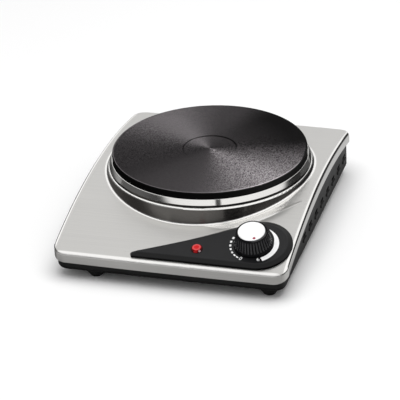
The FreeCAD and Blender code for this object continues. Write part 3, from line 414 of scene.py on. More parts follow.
def make_rings_group():
    """Fine rings about an upright axis, as a lathe leaves them, uneven along their length."""
    inputs = {"From Axis": None, "Pitch": 1200.0, "Unevenness": 40.0}
    net, given, result = new_group("Turned Rings", inputs, ["Rings"])
    shift = 0.8  # how far the unevenness moves the rings, in pitches
    uneven = net.noise({"Vector": given["From Axis"], "Scale": given["Unevenness"], "Detail": 1.0})
    steps = net.plus(net.times(net.length(given["From Axis"]), given["Pitch"]), net.times(uneven, shift))
    net.feed(result, Rings=net.noise({"W": steps, "Scale": 1.0, "Detail": 2.0}, noise_dimensions="1D"))


def make_speckle_group():
    """Fine grain of a cast, sprayed or moulded face, with a softer cloud under it."""
    inputs = {"Place": None, "Scale": 900.0, "Cloud Scale": 25.0}
    net, given, result = new_group("Fine Speckle", inputs, ["Speckle", "Cloud"])
    place = given["Place"]
    fine = {"Vector": place, "Scale": given["Scale"], "Detail": 2.0, "Roughness": 0.7}
    cloud = {"Vector": place, "Scale": given["Cloud Scale"], "Detail": 4.0, "Roughness": 0.55}
    net.feed(result, Speckle=net.noise(fine), Cloud=net.noise(cloud))


# Places on the part

def from_plate(net):
    """Level offset from the plate's axis."""
    return net.vector("MULTIPLY", net.vector("SUBTRACT", net.place, PLATE_CENTRE), LEVEL)


def across_the_rings(net, way):
    """Direction square to the marks that turning leaves: outward on level faces, upward on walls."""
    return net.vector("ADD", way, UP)


def over_arch(net, parts):
    """Height over the cover's arch."""
    along = net.minus(parts["Y"], ARCH_CREST.y)
    square = net.minus(ARCH_RADIUS ** 2, net.times(along, along))
    return net.minus(parts["Z"], net.plus(net.math("SQRT", square), ARCH_CREST.z - ARCH_RADIUS))


def past_outline(net, parts):
    """How far a place lies past the body's sides, and past its whole outline. It is below zero inside."""
    beside = net.minus(net.math("ABSOLUTE", parts["X"]), HALF_WIDTH)
    before = net.minus(net.math("ABSOLUTE", parts["Y"]), HALF_DEPTH)
    return beside, net.most(beside, before)


def along_axis(net, middle):
    """Offset from a point on the panel, and its height along the knob's axis."""
    offset = net.vector("SUBTRACT", net.place, middle)
    return offset, net.vector("DOT_PRODUCT", offset, KNOB_AXIS)


def off_axis(net, offset, height):
    """The part of an offset that is square to the knob's axis."""
    upward = net.add("ShaderNodeVectorMath", {0: KNOB_AXIS, "Scale": height}, operation="SCALE")
    return net.vector("SUBTRACT", offset, upward.outputs["Vector"])


def drum_masks(net, offset, way, parts, rise):
    """Three masks: the drum with its foot and the swell's face, which take a painted highlight, its wall alone,
    which takes painted shade, and the swell's flank, which takes painted shade.
    """
    swell_way, near_swell, swell_rear = (0.743, -0.669, 0.0), (0.78, 0.96), (-0.060, -0.022)
    foot_radii, foot_edge = (0.1025, 0.1120), (0.0, 0.0008)  # plain foot and swell's foot
    # face_highlight_share: how much painted highlight the drum and the swell's face take, falling from full to
    # about half across the face
    face_span, face_highlight_share = (0.1036, 0.1052), (1.0, 0.55)
    wall_reach, wall_foot, wall_head = (0.1030, 0.1018), (0.0010, 0.0017), (0.0562, 0.0570)
    flank_start, flank_end = (-0.0004, 0.0004), (0.0010, 0.0080)  # past the foot

    reach = net.length(offset)
    on_swell = net.times(net.towards(way, swell_way, near_swell), net.ease(parts["Y"], swell_rear, FALL))
    foot = net.fade(on_swell, RISE, foot_radii)
    inside = net.times(net.fade(net.minus(foot, reach), foot_edge), net.ease(reach, face_span, face_highlight_share))
    wall = net.times(net.fade(reach, wall_reach), net.fade(rise, wall_foot),
                     net.fade(parts["Z"], wall_head, FALL))
    flank = net.times(net.band(net.minus(reach, foot), flank_start, flank_end, soft=True), on_swell)
    return inside, wall, flank


def edge_masks(net, parts, rise):
    """Two masks: the upper half of the cover's rolled edge, which takes a painted highlight, and both sides' edges
    with their lips.
    """
    roll_start, upper_half, side_start = (-0.0038, -0.0026), (-0.0030, -0.0016), (-0.0044, -0.0034)
    beside, past = past_outline(net, parts)
    return net.times(net.ease(past, roll_start), net.ease(rise, upper_half)), net.fade(beside, side_start)


# Finishes

def brushed_steel(colours):
    """Belt-brushed sheet and a spun drum, with painted highlights on the upper half of the rolled edges, on the
    drum with its foot and on the swell's face, painted shade on the swell's flank and the drum's wall, and painted
    reflections: polished faces see the cover darker and the wall brighter.
    """
    line_depth, spun_depth = 0.05, 0.03
    flank_shade, far_shade = 0.65, 0.15
    mirrored_left_to_right = (-0.02, 0.06)
    brushed_rough, cloud_rough = (0.29, 0.37), (-0.02, 0.03)
    drum_rough, side_rough = (1.0, 0.62), (1.0, 0.22)
    line_height, spun_height = 0.000008, 0.000001

    material, net, shader = new_material("brushed_steel_sheet", Metallic=1.0, Anisotropic=0.55)
    lines = net.group("Brushed Lines", Place=net.place)["Lines"]
    marks = net.group("Fine Speckle", Place=net.place, Scale=260.0, Cloud_Scale=14.0)
    upright = net.vector("MULTIPLY", net.place, UP)
    spun = net.group("Turned Rings", From_Axis=upright, Pitch=2600.0)["Rings"]
    parts = net.parts(net.place)
    rise = over_arch(net, parts)
    offset = from_plate(net)
    way = net.unit(offset)
    on_drum, on_wall, on_flank = drum_masks(net, offset, way, parts, rise)
    on_roll, on_side = edge_masks(net, parts, rise)
    mirrored = net.add("ShaderNodeLightPath").outputs["Is Glossy Ray"]

    sheet = net.tinted(lines, colours.steel, line_depth)
    # Painted shade on the swell's flank, below its crease
    sheet = net.blend(on_flank, sheet, shade(colours.steel, flank_shade))
    # Painted highlight on the upper half of the rolled edge and on the drum with its foot and the swell's face
    sheet = net.blend(net.most(on_roll, on_drum), sheet, colours.painted_highlight_steel)
    # Painted reflection: the cover as polished faces see it, dark, and darker still towards the right
    seen_dark = shade(colours.painted_reflection_steel, far_shade)
    seen = net.blend(net.fade(parts["X"], mirrored_left_to_right), colours.painted_reflection_steel, seen_dark)
    # The drum's wall: painted shade in its darker steel, and a bright painted reflection where polished faces see
    # it
    wall = net.blend(mirrored, net.tinted(spun, colours.drum, spun_depth), colours.painted_highlight_steel)
    base = net.blend(on_wall, net.blend(mirrored, sheet, seen), wall)

    marking = net.mix(on_drum, lines, spun)
    rough = net.fade(marking, MIDDLING, brushed_rough)
    rough = net.plus(rough, net.fade(marks["Cloud"], MIDDLING, cloud_rough))
    rough = net.times(rough, net.fade(on_drum, RISE, drum_rough), net.fade(on_side, RISE, side_rough))
    tangent = net.mix(on_drum, (0.0, 1.0, 0.0), across_the_rings(net, way), "VECTOR")
    net.feed(shader, Base_Color=base, Roughness=rough, Tangent=tangent,
             Normal=net.bump(marking, net.mix(on_drum, line_height, spun_height)))
    return material


def bright_steel(colours):
    """Polished rolled ring with faint turning marks."""
    cloud_depth, rough, ring_height = 0.04, (0.07, 0.11), 0.000004
    material, net, shader = new_material("bright_rolled_steel", Metallic=1.0, Anisotropic=0.4)
    offset = from_plate(net)
    rings = net.group("Turned Rings", From_Axis=offset, Pitch=2500.0)["Rings"]
    marks = net.group("Fine Speckle", Place=net.place, Scale=500.0, Cloud_Scale=30.0)
    net.feed(shader, Base_Color=net.tinted(marks["Cloud"], colours.bright, cloud_depth),
             Roughness=net.fade(rings, MIDDLING, rough),
             Tangent=across_the_rings(net, net.unit(offset)), Normal=net.bump(rings, ring_height))
    return material


def painted_light_and_shade(net, way, reach):
    """How light the blackened face is drawn: three paler patches of painted light, and a darker one of painted
    shade towards the rear right rim.
    """
    paler_reach, paler_share = (0.0, 0.08), (0.35, 1.0)
    darker_reach, darker_share = (0.025, 0.080), (0.0, 0.78)
    paler = net.plus(*(net.towards(way, *patch) for patch in PAINTED_LIGHT_PATCHES))
    paler = net.times(paler, net.fade(reach, paler_reach, paler_share))
    darker = net.times(net.towards(way, *PAINTED_SHADE_PATCH), net.fade(reach, darker_reach, darker_share))
    return net.minus(net.plus(1.0, paler), darker)


def cast_iron(colours):
    """Blackened iron: turned rings that fan the light, and the fine grain of a heat-proof coat, with patches of
    painted light and shade, a painted highlight along the edge and painted shade round the dimple.
    """
    rim_radius, rim_edge, rim_black = 0.0932, (0.0, 0.0004), (0.006, 0.006, 0.006)
    rear, near_rear, rear_rim = (0.26, 0.97, 0.0), (0.0, 0.35), 0.0010  # the rim is broader at the rear
    edge_highlight_start, edge_highlight_end, edge_highlight_tone = (0.0925, 0.0929), (0.0931, 0.0934), 5.0
    dimple_start, dimple_end, dimple_shade = (0.0250, 0.0254), (0.0260, 0.0264), 0.25
    least_coarse, grit_scale, grit_depth = 0.15, 1700.0, 0.80
    ring_share, fine_height, coarse_height = 0.35, 0.00010, 0.00018
    rough = (0.48, 0.58)

    material, net, shader = new_material("blackened_iron", Metallic=0.9, Anisotropic=0.78,
                                         Specular_Tint=(0.32, 0.32, 0.32))
    offset = from_plate(net)
    reach, way = net.length(offset), net.unit(offset)
    rings = net.group("Turned Rings", From_Axis=offset, Pitch=1300.0)["Rings"]
    speckle = net.group("Fine Speckle", Place=net.place, Scale=900.0, Cloud_Scale=35.0)["Speckle"]
    coarse = net.most(*(net.towards(way, *patch) for patch in COARSE_PATCHES), least_coarse)
    grit = net.add("ShaderNodeTexVoronoi", {"Vector": net.place, "Scale": grit_scale}).outputs["Color"]
    face = net.blend(coarse, colours.iron, net.tinted(grit, colours.iron, grit_depth))
    # Painted light and shade: the face made paler in three patches and darker towards the rear right rim
    face = net.blend(1.0, face, painted_light_and_shade(net, way, reach), "MULTIPLY")
    # Painted shade: a dark ring round the dimple's sunk edge
    dimple = net.band(reach, dimple_start, dimple_end)
    face = net.blend(dimple, face, shade(colours.iron, dimple_shade))
    # Painted highlight: a thin pale ring along the start of the plate's rounded top edge
    face = net.blend(net.band(reach, edge_highlight_start, edge_highlight_end), face, shade(colours.iron, edge_highlight_tone))
    rim_start = net.minus(rim_radius, net.towards(way, rear, near_rear, rear_rim))
    face = net.blend(net.fade(net.minus(reach, rim_start), rim_edge), face, rim_black)
    height = net.plus(net.times(rings, ring_share), speckle)
    net.feed(shader, Base_Color=face, Roughness=net.fade(speckle, MIDDLING, rough),
             Tangent=across_the_rings(net, way),
             Normal=net.bump(height, net.mix(coarse, fine_height, coarse_height)))
    return material


def grained(name, rough, grain, **constants):
    """Material with a fine grain and a drifting roughness. It also gives the clouds, for the colour."""
    material, net, shader = new_material(name, **constants)
    marks = net.group("Fine Speckle", Place=net.place, Scale=grain.scale, Cloud_Scale=grain.clouds)
    span = (rough - grain.below, rough + grain.above)
    net.feed(shader, Roughness=net.fade(marks[grain.follows], MIDDLING, span))
    if grain.height:
        net.feed(shader, Normal=net.bump(marks["Speckle"], grain.height))
    return material, net, shader, marks["Cloud"]


def plain_finish(name, tone, rough, grain, **constants):
    """Enamel, moulding, rubber, ceramic, print or plated metal in one tone with faint clouds."""
    material, net, shader, cloud = grained(name, rough, grain, **constants)
    net.feed(shader, Base_Color=net.tinted(cloud, tone, grain.drift))
    return material


def panel_moulding(colours, sizes):
    """Satin black moulding; its bevel round the flat face is drawn darker, as painted shade."""
    bevel_shade, face_edge = 0.25, (0.0003, 0.0001)
    material, net, shader, cloud = grained("panel_moulding", 0.33, PANEL_GRAIN, Specular_IOR_Level=0.22)
    height = along_axis(net, KNOB_SPOT)[1]
    on_face = net.fade(height, [sizes.face - drop for drop in face_edge])
    face = net.tinted(cloud, colours.panel, PANEL_GRAIN.drift)
    # Painted shade: the bevel drawn darker than the flat face
    net.feed(shader, Base_Color=net.blend(on_face, shade(colours.panel, bevel_shade), face))
    return material


def grip_lean(sizes):
    """How much the knob's grip narrows with its height."""
    return (sizes.grip - sizes.grip_top) / (sizes.top - sizes.skirt_top)


def knob_moulding(colours, sizes):
    """Black moulding with a glossy coat on its ribs and on part of its rim, which are also drawn lighter as
    painted light; its grooves and skirt stay dull and are drawn darker as painted shade.
    """
    # dull and glossy: tones of painted shade and painted light on the moulding
    rib_shares, dull, glossy = (0.5, 0.1), 0.6, 2.4  # shares of the groove's depth under the crest
    foot_fade, head_fade, rim_fade = (0.0, 0.0006), (-0.001, 0.0006), (-0.0006, -0.0004)
    lit_way, near_lit = (0.80, -0.60, 0.0), (0.70, 0.85)

    material, net, shader, _ = grained("knob_moulding", 0.24, KNOB_GRAIN, Specular_IOR_Level=0.06,
                                       Coat_Roughness=0.22)
    offset, height = along_axis(net, KNOB_SPOT)
    outward = off_axis(net, offset, height)
    lean = grip_lean(sizes)
    crest = sizes.grip + lean * sizes.skirt_top
    foot_reach = net.plus(net.length(outward), net.times(height, lean))
    on_rib = net.fade(foot_reach, [crest - share * sizes.groove_depth for share in rib_shares])
    on_grip = net.band(height, [sizes.groove_low + step for step in foot_fade],
                       [sizes.groove_high + step for step in head_fade])
    # Painted highlight: a crescent on the rim's top towards its lit side, where the coat also lies
    rim_gloss_and_glint = net.times(net.towards(net.unit(outward), lit_way, near_lit),
                       net.fade(height, [sizes.top + step for step in rim_fade]))
    # Painted light and shade: the coat's mask also draws the ribs' crests and the rim's crescent lighter, and the
    # grooves and skirt darker
    gloss_and_painted_light = net.most(net.times(on_rib, on_grip), rim_gloss_and_glint)
    tone = net.blend(gloss_and_painted_light, shade(colours.knob, dull), shade(colours.knob, glossy))
    net.feed(shader, Base_Color=tone, Coat_Weight=gloss_and_painted_light)
    return material


def red_lens(colours, sizes):
    """Clear red moulding: a deep core and a paler ring on top, and a side in painted shade with painted light
    towards the front and a painted glint at its front right.
    """
    ring_start, ring_end, side_start = (0.0020, 0.0029), (0.0033, 0.0042), (0.0040, 0.0045)
    pale_share, pale_lift, dark_shade, cloud_depth = 0.95, 0.065, 0.05, 0.12
    front, near_front, front_glow = Vector((0.03, -1.0, 0.0)), (0.88, 0.99), 0.60
    corner, near_corner, glint_tone = Vector((0.73, -0.68, 0.0)), (0.965, 0.99), (0.42, 0.26, 0.28)

    material, net, shader = new_material("red_lens", Roughness=0.16, Coat_Weight=0.04, Coat_Roughness=0.06,
                                         Specular_IOR_Level=0.12)
    panel = panel_place()
    outward = off_axis(net, *along_axis(net, panel @ Vector((*sizes.place, 0.0))))
    reach, way = net.length(outward), net.unit(outward)
    deep = tuple(colours.lens)
    pale = tuple(min(1.0, pale_share * c + pale_lift) for c in deep)
    cloud = net.group("Fine Speckle", Place=net.place, Scale=600.0, Cloud_Scale=300.0)["Cloud"]
    ring = net.band(reach, ring_start, ring_end, soft=True)
    top = net.blend(ring, net.tinted(cloud, deep, cloud_depth), pale)
    # Painted light on the side towards the front and a painted glint at its front right; the rest of the side is
    # painted shade
    lit = net.towards(way, panel.to_3x3() @ front, near_front, front_glow)
    glint = net.towards(way, panel.to_3x3() @ corner, near_corner)
    side = net.blend(glint, net.blend(lit, shade(deep, dark_shade), deep), glint_tone)
    net.feed(shader, Base_Color=net.blend(net.ease(reach, side_start), top, side))
    return material


def lamp_glass():
    """Faintly clouded glass of the pilot lamp."""
    tone, cloud_depth = (0.9, 0.55, 0.45), 0.06
    material, net, shader = new_material("lamp_glass", Roughness=0.05, Transmission_Weight=0.8, IOR=1.5)
    cloud = net.group("Fine Speckle", Place=net.place)["Cloud"]
    net.feed(shader, Base_Color=net.tinted(cloud, tone, cloud_depth))
    return material


def metal(name, tone, rough):
    return plain_finish(name, tone, rough, METAL_GRAIN, Metallic=1.0)


def matt(name, tone, rough):
    return plain_finish(name, tone, rough, MATT_GRAIN)


def make_finishes(colours, lens, panel, knob):
    """One material for each of the record's slots."""
    make_brushed_group()
    make_rings_group()
    make_speckle_group()
    soot = (0.008, 0.008, 0.008)
    return {
        "brushed_steel": brushed_steel(colours),
        "bright_steel": bright_steel(colours),
        "cast_iron": cast_iron(colours),
        "black_enamel": plain_finish("black_enamel_coat", colours.enamel, 0.45, ENAMEL_GRAIN,
                                     Specular_IOR_Level=0.25),
        "panel_black": panel_moulding(colours, panel),
        "knob_black": knob_moulding(colours, knob),
        "cap_silver": plain_finish("pale_cap", colours.cap, 0.35, CAP_GRAIN, Metallic=0.55),
        "lens_red": red_lens(colours, lens),
        "dot_red": matt("red_dot", (0.30, 0.0, 0.030), 0.5),
        "rubber_black": plain_finish("foot_rubber", soot, 0.62, RUBBER_GRAIN, Specular_IOR_Level=0.25),
        "zinc_steel": metal("zinc_plate", (0.50, 0.50, 0.48), 0.36),
        "bright_sheet": metal("bright_sheet_metal", (0.75, 0.75, 0.75), 0.25),
        "brass": metal("plain_brass", (0.70, 0.52, 0.24), 0.33),
        "ceramic": matt("pale_ceramic", (0.78, 0.74, 0.66), 0.75),
        "phenolic": matt("brown_moulding", (0.08, 0.04, 0.025), 0.5),
        "block_white": matt("white_moulding", (0.75, 0.75, 0.72), 0.5),
        "lamp_glass": lamp_glass(),
        "wire_brown": matt("brown_sleeve", (0.20, 0.08, 0.03), 0.55),
        "wire_blue": matt("blue_sleeve", (0.05, 0.15, 0.50), 0.55),
        "wire_green": matt("green_sleeve", (0.10, 0.35, 0.10), 0.55),
        "wire_grey": matt("grey_sleeve", (0.30, 0.30, 0.30), 0.55),
    }


FINISHES = {}


# Meshes

def rounded(shape, geom, offset, affect, segments):
    """Bevels corners or edges to a round."""
    bmesh.ops.bevel(shape, geom=geom, offset=offset, offset_type="OFFSET", affect=affect,
                    segments=segments, profile=0.5, material=-1)


def turned(profile, steps):
    """Solid of revolution about Z. A corner is its radius, its height and any rounding. An outline that
    starts off the axis closes on itself."""
    shape = bmesh.new()
    corners = [shape.verts.new((radius, 0.0, height)) for radius, height, *_ in profile]
    pairs = list(zip(corners, corners[1:]))
    if profile[0][0] > 0:
        pairs.append((corners[-1], corners[0]))
    for pair in pairs:
        shape.edges.new(pair)
    for corner, (_, _, *rounding) in zip(corners, profile):
        if rounding:
            rounded(shape, [corner], rounding[0], "VERTICES", 4)
    bmesh.ops.spin(shape, geom=shape.verts[:] + shape.edges[:], cent=(0, 0, 0), axis=UP, angle=TURN,
                   steps=steps, use_merge=True)
    bmesh.ops.remove_doubles(shape, verts=shape.verts, dist=1e-7)
    bmesh.ops.recalc_face_normals(shape, faces=shape.faces)
    return shape


def arc(middle, radius, start, end, steps):
    """Points on a circle from one angle to another."""
    turns = [start + (end - start) * k / steps for k in range(steps + 1)]
    return [middle + radius * Vector((math.cos(turn), math.sin(turn))) for turn in turns]


def arc_through(first, middle, last, steps):
    """Points on the shallow arc through three places."""
    chord, side = last - first, middle - first
    spread = 2 * (chord.x * side.y - chord.y * side.x)
    reach = Vector((side.y * chord.length_squared - chord.y * side.length_squared,
                    chord.x * side.length_squared - side.x * chord.length_squared)) / spread
    start = math.atan2(-reach.y, -reach.x)
    end = math.atan2(chord.y - reach.y, chord.x - reach.x)
    sweep = (end - start + math.pi) % TURN - math.pi
    return arc(first + reach, reach.length, start, start + sweep, steps)


def panel_place():
    """The panel's plane: x to the right, y up the slope, z out along the knob's axis."""
    across = Vector((1.0, 0.0, 0.0))
    place = Matrix((across, KNOB_AXIS.cross(across), KNOB_AXIS)).transposed().to_4x4()
    place.translation = KNOB_SPOT
    return place


def dial_spot(radius, turn):
    """Point in the panel's plane at an angle clockwise from the front."""
    return Vector((-radius * math.sin(turn), -radius * math.cos(turn), 0.0))


def new_object(shape, name, material):
    """Object at the origin from a finished bmesh."""
    mesh = bpy.data.meshes.new(name)
    shape.to_mesh(mesh)
    shape.free()
    mesh.materials.append(material)
    made = bpy.data.objects.new(name, mesh)
    bpy.context.scene.collection.objects.link(made)
    return made


def new_piece(shape, name, body, slot, material=None, stands_for=()):
    """Piece that rides on its body, with flat faces shaded flat."""
    piece = new_object(shape, name, material or FINISHES[slot])
    piece.data.shade_smooth()
    piece.data.set_sharp_from_angle(angle=CREASE)
    piece.modifiers.new("Flat faces", "WEIGHTED_NORMAL").keep_sharp = True
    evaluated = piece.evaluated_get(bpy.context.evaluated_depsgraph_get())
    settled = bpy.data.meshes.new_from_object(evaluated)
    piece.modifiers.clear()
    piece.data = settled
    settled.name = name
    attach(piece, body)
    if stands_for:
        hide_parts(*stands_for)


def turned_piece(profile, steps, place, name, body, slot, node):
    """Piece turned from a profile and set in its place, which stands for a node of the frame."""
    shape = turned(profile, steps)
    bmesh.ops.transform(shape, matrix=place, verts=shape.verts)
    new_piece(shape, name, body, slot, stands_for=(node,))


def printed_piece(shape, name, ink):
    """Gives flat print a film's thickness and lays it on the panel's face."""
    film, lift = 0.00006, bpy.context.scene.hot_plate_panel.face
    bmesh.ops.recalc_face_normals(shape, faces=shape.faces)
    for face in shape.faces:
        if face.normal.z < 0:
            face.normal_flip()
    bmesh.ops.solidify(shape, geom=shape.faces[:], thickness=-film)
    bmesh.ops.recalc_face_normals(shape, faces=shape.faces)
    place = panel_place() @ Matrix.Translation((0.0, 0.0, lift))
    bmesh.ops.transform(shape, matrix=place, verts=shape.verts)
    new_piece(shape, name, "body", "panel_black", material=ink)


def lay_on_dial(shape, verts, radius, turn):
    """Turns a mark about the knob's axis and moves it out to its place on the dial."""
    bmesh.ops.rotate(shape, verts=verts, cent=(0, 0, 0), matrix=Matrix.Rotation(-turn, 3, "Z"))
    bmesh.ops.translate(shape, verts=verts, vec=dial_spot(radius, turn))


class HOTPLATE_OT_finishes(bpy.types.Operator):
    """Make the materials and give every carried-over node its own"""

    bl_idname = "hotplate.finishes"
    bl_label = "Finishes"

    def execute(self, context):
        scene = context.scene
        FINISHES.update(make_finishes(scene.hot_plate_colours, scene.hot_plate_lens, scene.hot_plate_panel,
                                      scene.hot_plate_knob))
        for name, node in frame["nodes"].items():
            node.data.materials.clear()
            node.data.materials.append(FINISHES[SLOT_OF_NODE[name]])
        return {"FINISHED"}


class HOTPLATE_OT_plate(bpy.types.Operator):
    """Turn the cast plate with its dimple, rounded edge, hub and element well"""

    bl_idname = "hotplate.plate"
    bl_label = "Cast plate"

    def execute(self, context):
        sizes = context.scene.hot_plate_sizes
        floor = sizes.top - sizes.dimple_depth
        slope = 0.6 * sizes.dimple_depth
        hub, well, well_outer, well_inner = PLATE_LOW.z, 0.061, 0.076, 0.020
        stud_radius, stud_end = 0.00305, 0.062
        profile = [
            (0.0, floor),
            (sizes.dimple_radius - slope, floor, 0.0002),
            (sizes.dimple_radius, sizes.top, 0.0003),
            (sizes.radius, sizes.top, sizes.edge),
            (sizes.radius, sizes.seat, 0.0006),
            (sizes.hub_radius, sizes.seat),
            (sizes.hub_radius, hub, 0.0005),
            (well_outer, hub),
            (well_outer, well),
            (well_inner, well),
            (well_inner, hub),
            (stud_radius, hub),
            (stud_radius, stud_end),
            (0.0, stud_end),
        ]
        place = Matrix.Translation(PLATE_CENTRE)
        turned_piece(profile, sizes.steps, place, "turned_plate", "body", "cast_iron", "hot_plate")
        return {"FINISHED"}


class HOTPLATE_OT_ring(bpy.types.Operator):
    """Roll the bright ring under the plate, with a rounded lip and skirt"""

    bl_idname = "hotplate.ring"
    bl_label = "Rolled ring"

    def execute(self, context):
        sizes = context.scene.hot_plate_sizes
        skirt, foot, slant = 0.0602, 0.0902, 0.0002
        lip_play, hub_play = 0.0004, 0.001
        sheet = sizes.ring_sheet
        shelf = sizes.seat - sheet
        lip = sizes.radius + lip_play
        inner = sizes.hub_radius + hub_play
        profile = [
            (inner, sizes.seat),
            (lip, sizes.seat),
            (lip, sizes.ring_top, 0.00035),
            (lip + sheet, sizes.ring_top, 0.00038),
            (sizes.ring_radius, skirt, 0.00035),
            (sizes.ring_radius - sheet, skirt - slant, 0.0003),
            (lip + slant, shelf),
            (foot + sheet, shelf),
            (foot + sheet, TRIM_LOW.z),
            (foot, TRIM_LOW.z),
            (foot, shelf),
            (inner, shelf),
        ]
        place = Matrix.Translation(PLATE_CENTRE)
        turned_piece(profile, sizes.steps, place, "rolled_ring", "body", "bright_steel", "trim_ring")
        return {"FINISHED"}


class HOTPLATE_OT_panel(bpy.types.Operator):
    """Build the drop-shaped panel with its rounded bevel and its two holes"""

    bl_idname = "hotplate.panel"
    bl_label = "Control panel"

    def execute(self, context):
        sizes = context.scene.hot_plate_panel
        lens = context.scene.hot_plate_lens
        rim = self.outline(sizes, sizes.rim_round, sizes.rim_tip, sizes.rim_tip_round, sizes.rim_upper)
        flat = self.outline(sizes, sizes.flat_round, sizes.flat_tip, sizes.flat_tip_round, sizes.flat_upper)
        slope = (sizes.tip_slope + sizes.upper_slope) / 2
        inward = sizes.border * Vector((math.sin(slope), -math.cos(slope)))
        inner = self.outline(sizes, sizes.flat_round - sizes.border, sizes.flat_tip,
                             sizes.flat_tip_round - sizes.border, Vector(sizes.flat_upper) + inward)
        circles = ((Vector((0.0, 0.0)), sizes.neck), (Vector(lens.place), lens.stem + lens.play))
        holes = [arc(middle, radius, 0.0, TURN, 32)[:-1] for middle, radius in circles]
        shape = bmesh.new()
        foot = self.ring(shape, rim, self.under)
        lower = self.ring(shape, rim, lambda place: sizes.rim)
        upper = self.ring(shape, flat, lambda place: sizes.face)
        border = self.ring(shape, inner, lambda place: sizes.face)
        mouths = [self.ring(shape, hole, lambda place: sizes.face) for hole in holes]
        ends = [self.ring(shape, hole, self.under) for hole in holes]
        for pair in ((foot, lower), (lower, upper), (upper, border), *zip(mouths, ends)):
            self.band(shape, *pair)
        for rings, facing in (([border, *mouths], UP), ([foot, *ends], -UP)):
            edges = [edge for ring in rings for edge in self.ring_edges(shape, ring)]
            bmesh.ops.triangle_fill(shape, use_beauty=True, edges=edges, normal=facing)
        rounded(shape, self.ring_edges(shape, lower) + self.ring_edges(shape, upper), sizes.edge, "EDGES", 3)
        bmesh.ops.recalc_face_normals(shape, faces=shape.faces)
        bmesh.ops.transform(shape, matrix=panel_place(), verts=shape.verts)
        new_piece(shape, "drop_panel", "body", "panel_black", stands_for=("control_panel",))
        return {"FINISHED"}

    def outline(self, sizes, round_radius, tip_x, tip_radius, upper):
        """Drop outline: round end, hollow upper edge, narrow end; the straight front edge closes it."""
        middle = Vector(sizes.middle)
        tip = Vector((tip_x, middle.y - round_radius + tip_radius))
        quarter = math.pi / 2
        big = arc(middle, round_radius, -quarter, quarter + sizes.upper_slope, 56)
        small = arc(tip, tip_radius, quarter + sizes.tip_slope, 3 * quarter, 14)
        hollow = arc_through(big[-1], Vector(upper), small[0], 40)
        return big + hollow[1:-1] + small

    def ring(self, shape, places, height):
        """Vertices through the places, each at its height."""
        return [shape.verts.new((*place, height(place))) for place in places]

    def ring_edges(self, shape, ring):
        return [shape.edges.get((ring[k - 1], ring[k])) for k in range(len(ring))]

    def band(self, shape, first, second):
        """Faces between two rings that have as many vertices."""
        for k in range(len(first)):
            shape.faces.new((first[k - 1], first[k], second[k], second[k - 1]))

    def under(self, place):
        """Height of the arched cover under a place in the panel's plane."""
        return math.sqrt(ARCH_RADIUS ** 2 - place.y ** 2) - ARCH_RADIUS


class HOTPLATE_OT_lens(bpy.types.Operator):
    """Turn the pilot lens: a rounded button on a flange, with a hollow stem"""

    bl_idname = "hotplate.lens"
    bl_label = "Pilot lens"

    def execute(self, context):
        sizes = context.scene.hot_plate_lens
        face = context.scene.hot_plate_panel.face
        crown = face + sizes.rise
        flange = face + sizes.flange_rise
        stem_end, bore, ceiling = -0.009, 0.0026, face + 0.0012
        profile = [
            (0.0, crown),
            (sizes.radius, crown, sizes.edge),
            (sizes.radius, flange, 0.0002),
            (sizes.flange, flange, 0.0004),
            (sizes.flange, face),
            (sizes.stem, face),
            (sizes.stem, stem_end, 0.0003),
            (bore, stem_end),
            (bore, ceiling),
            (0.0, ceiling),
        ]
        place = panel_place() @ Matrix.Translation((*sizes.place, 0.0))
        turned_piece(profile, 64, place, "lens_button", "body", "lens_red", "pilot_lens")
        return {"FINISHED"}


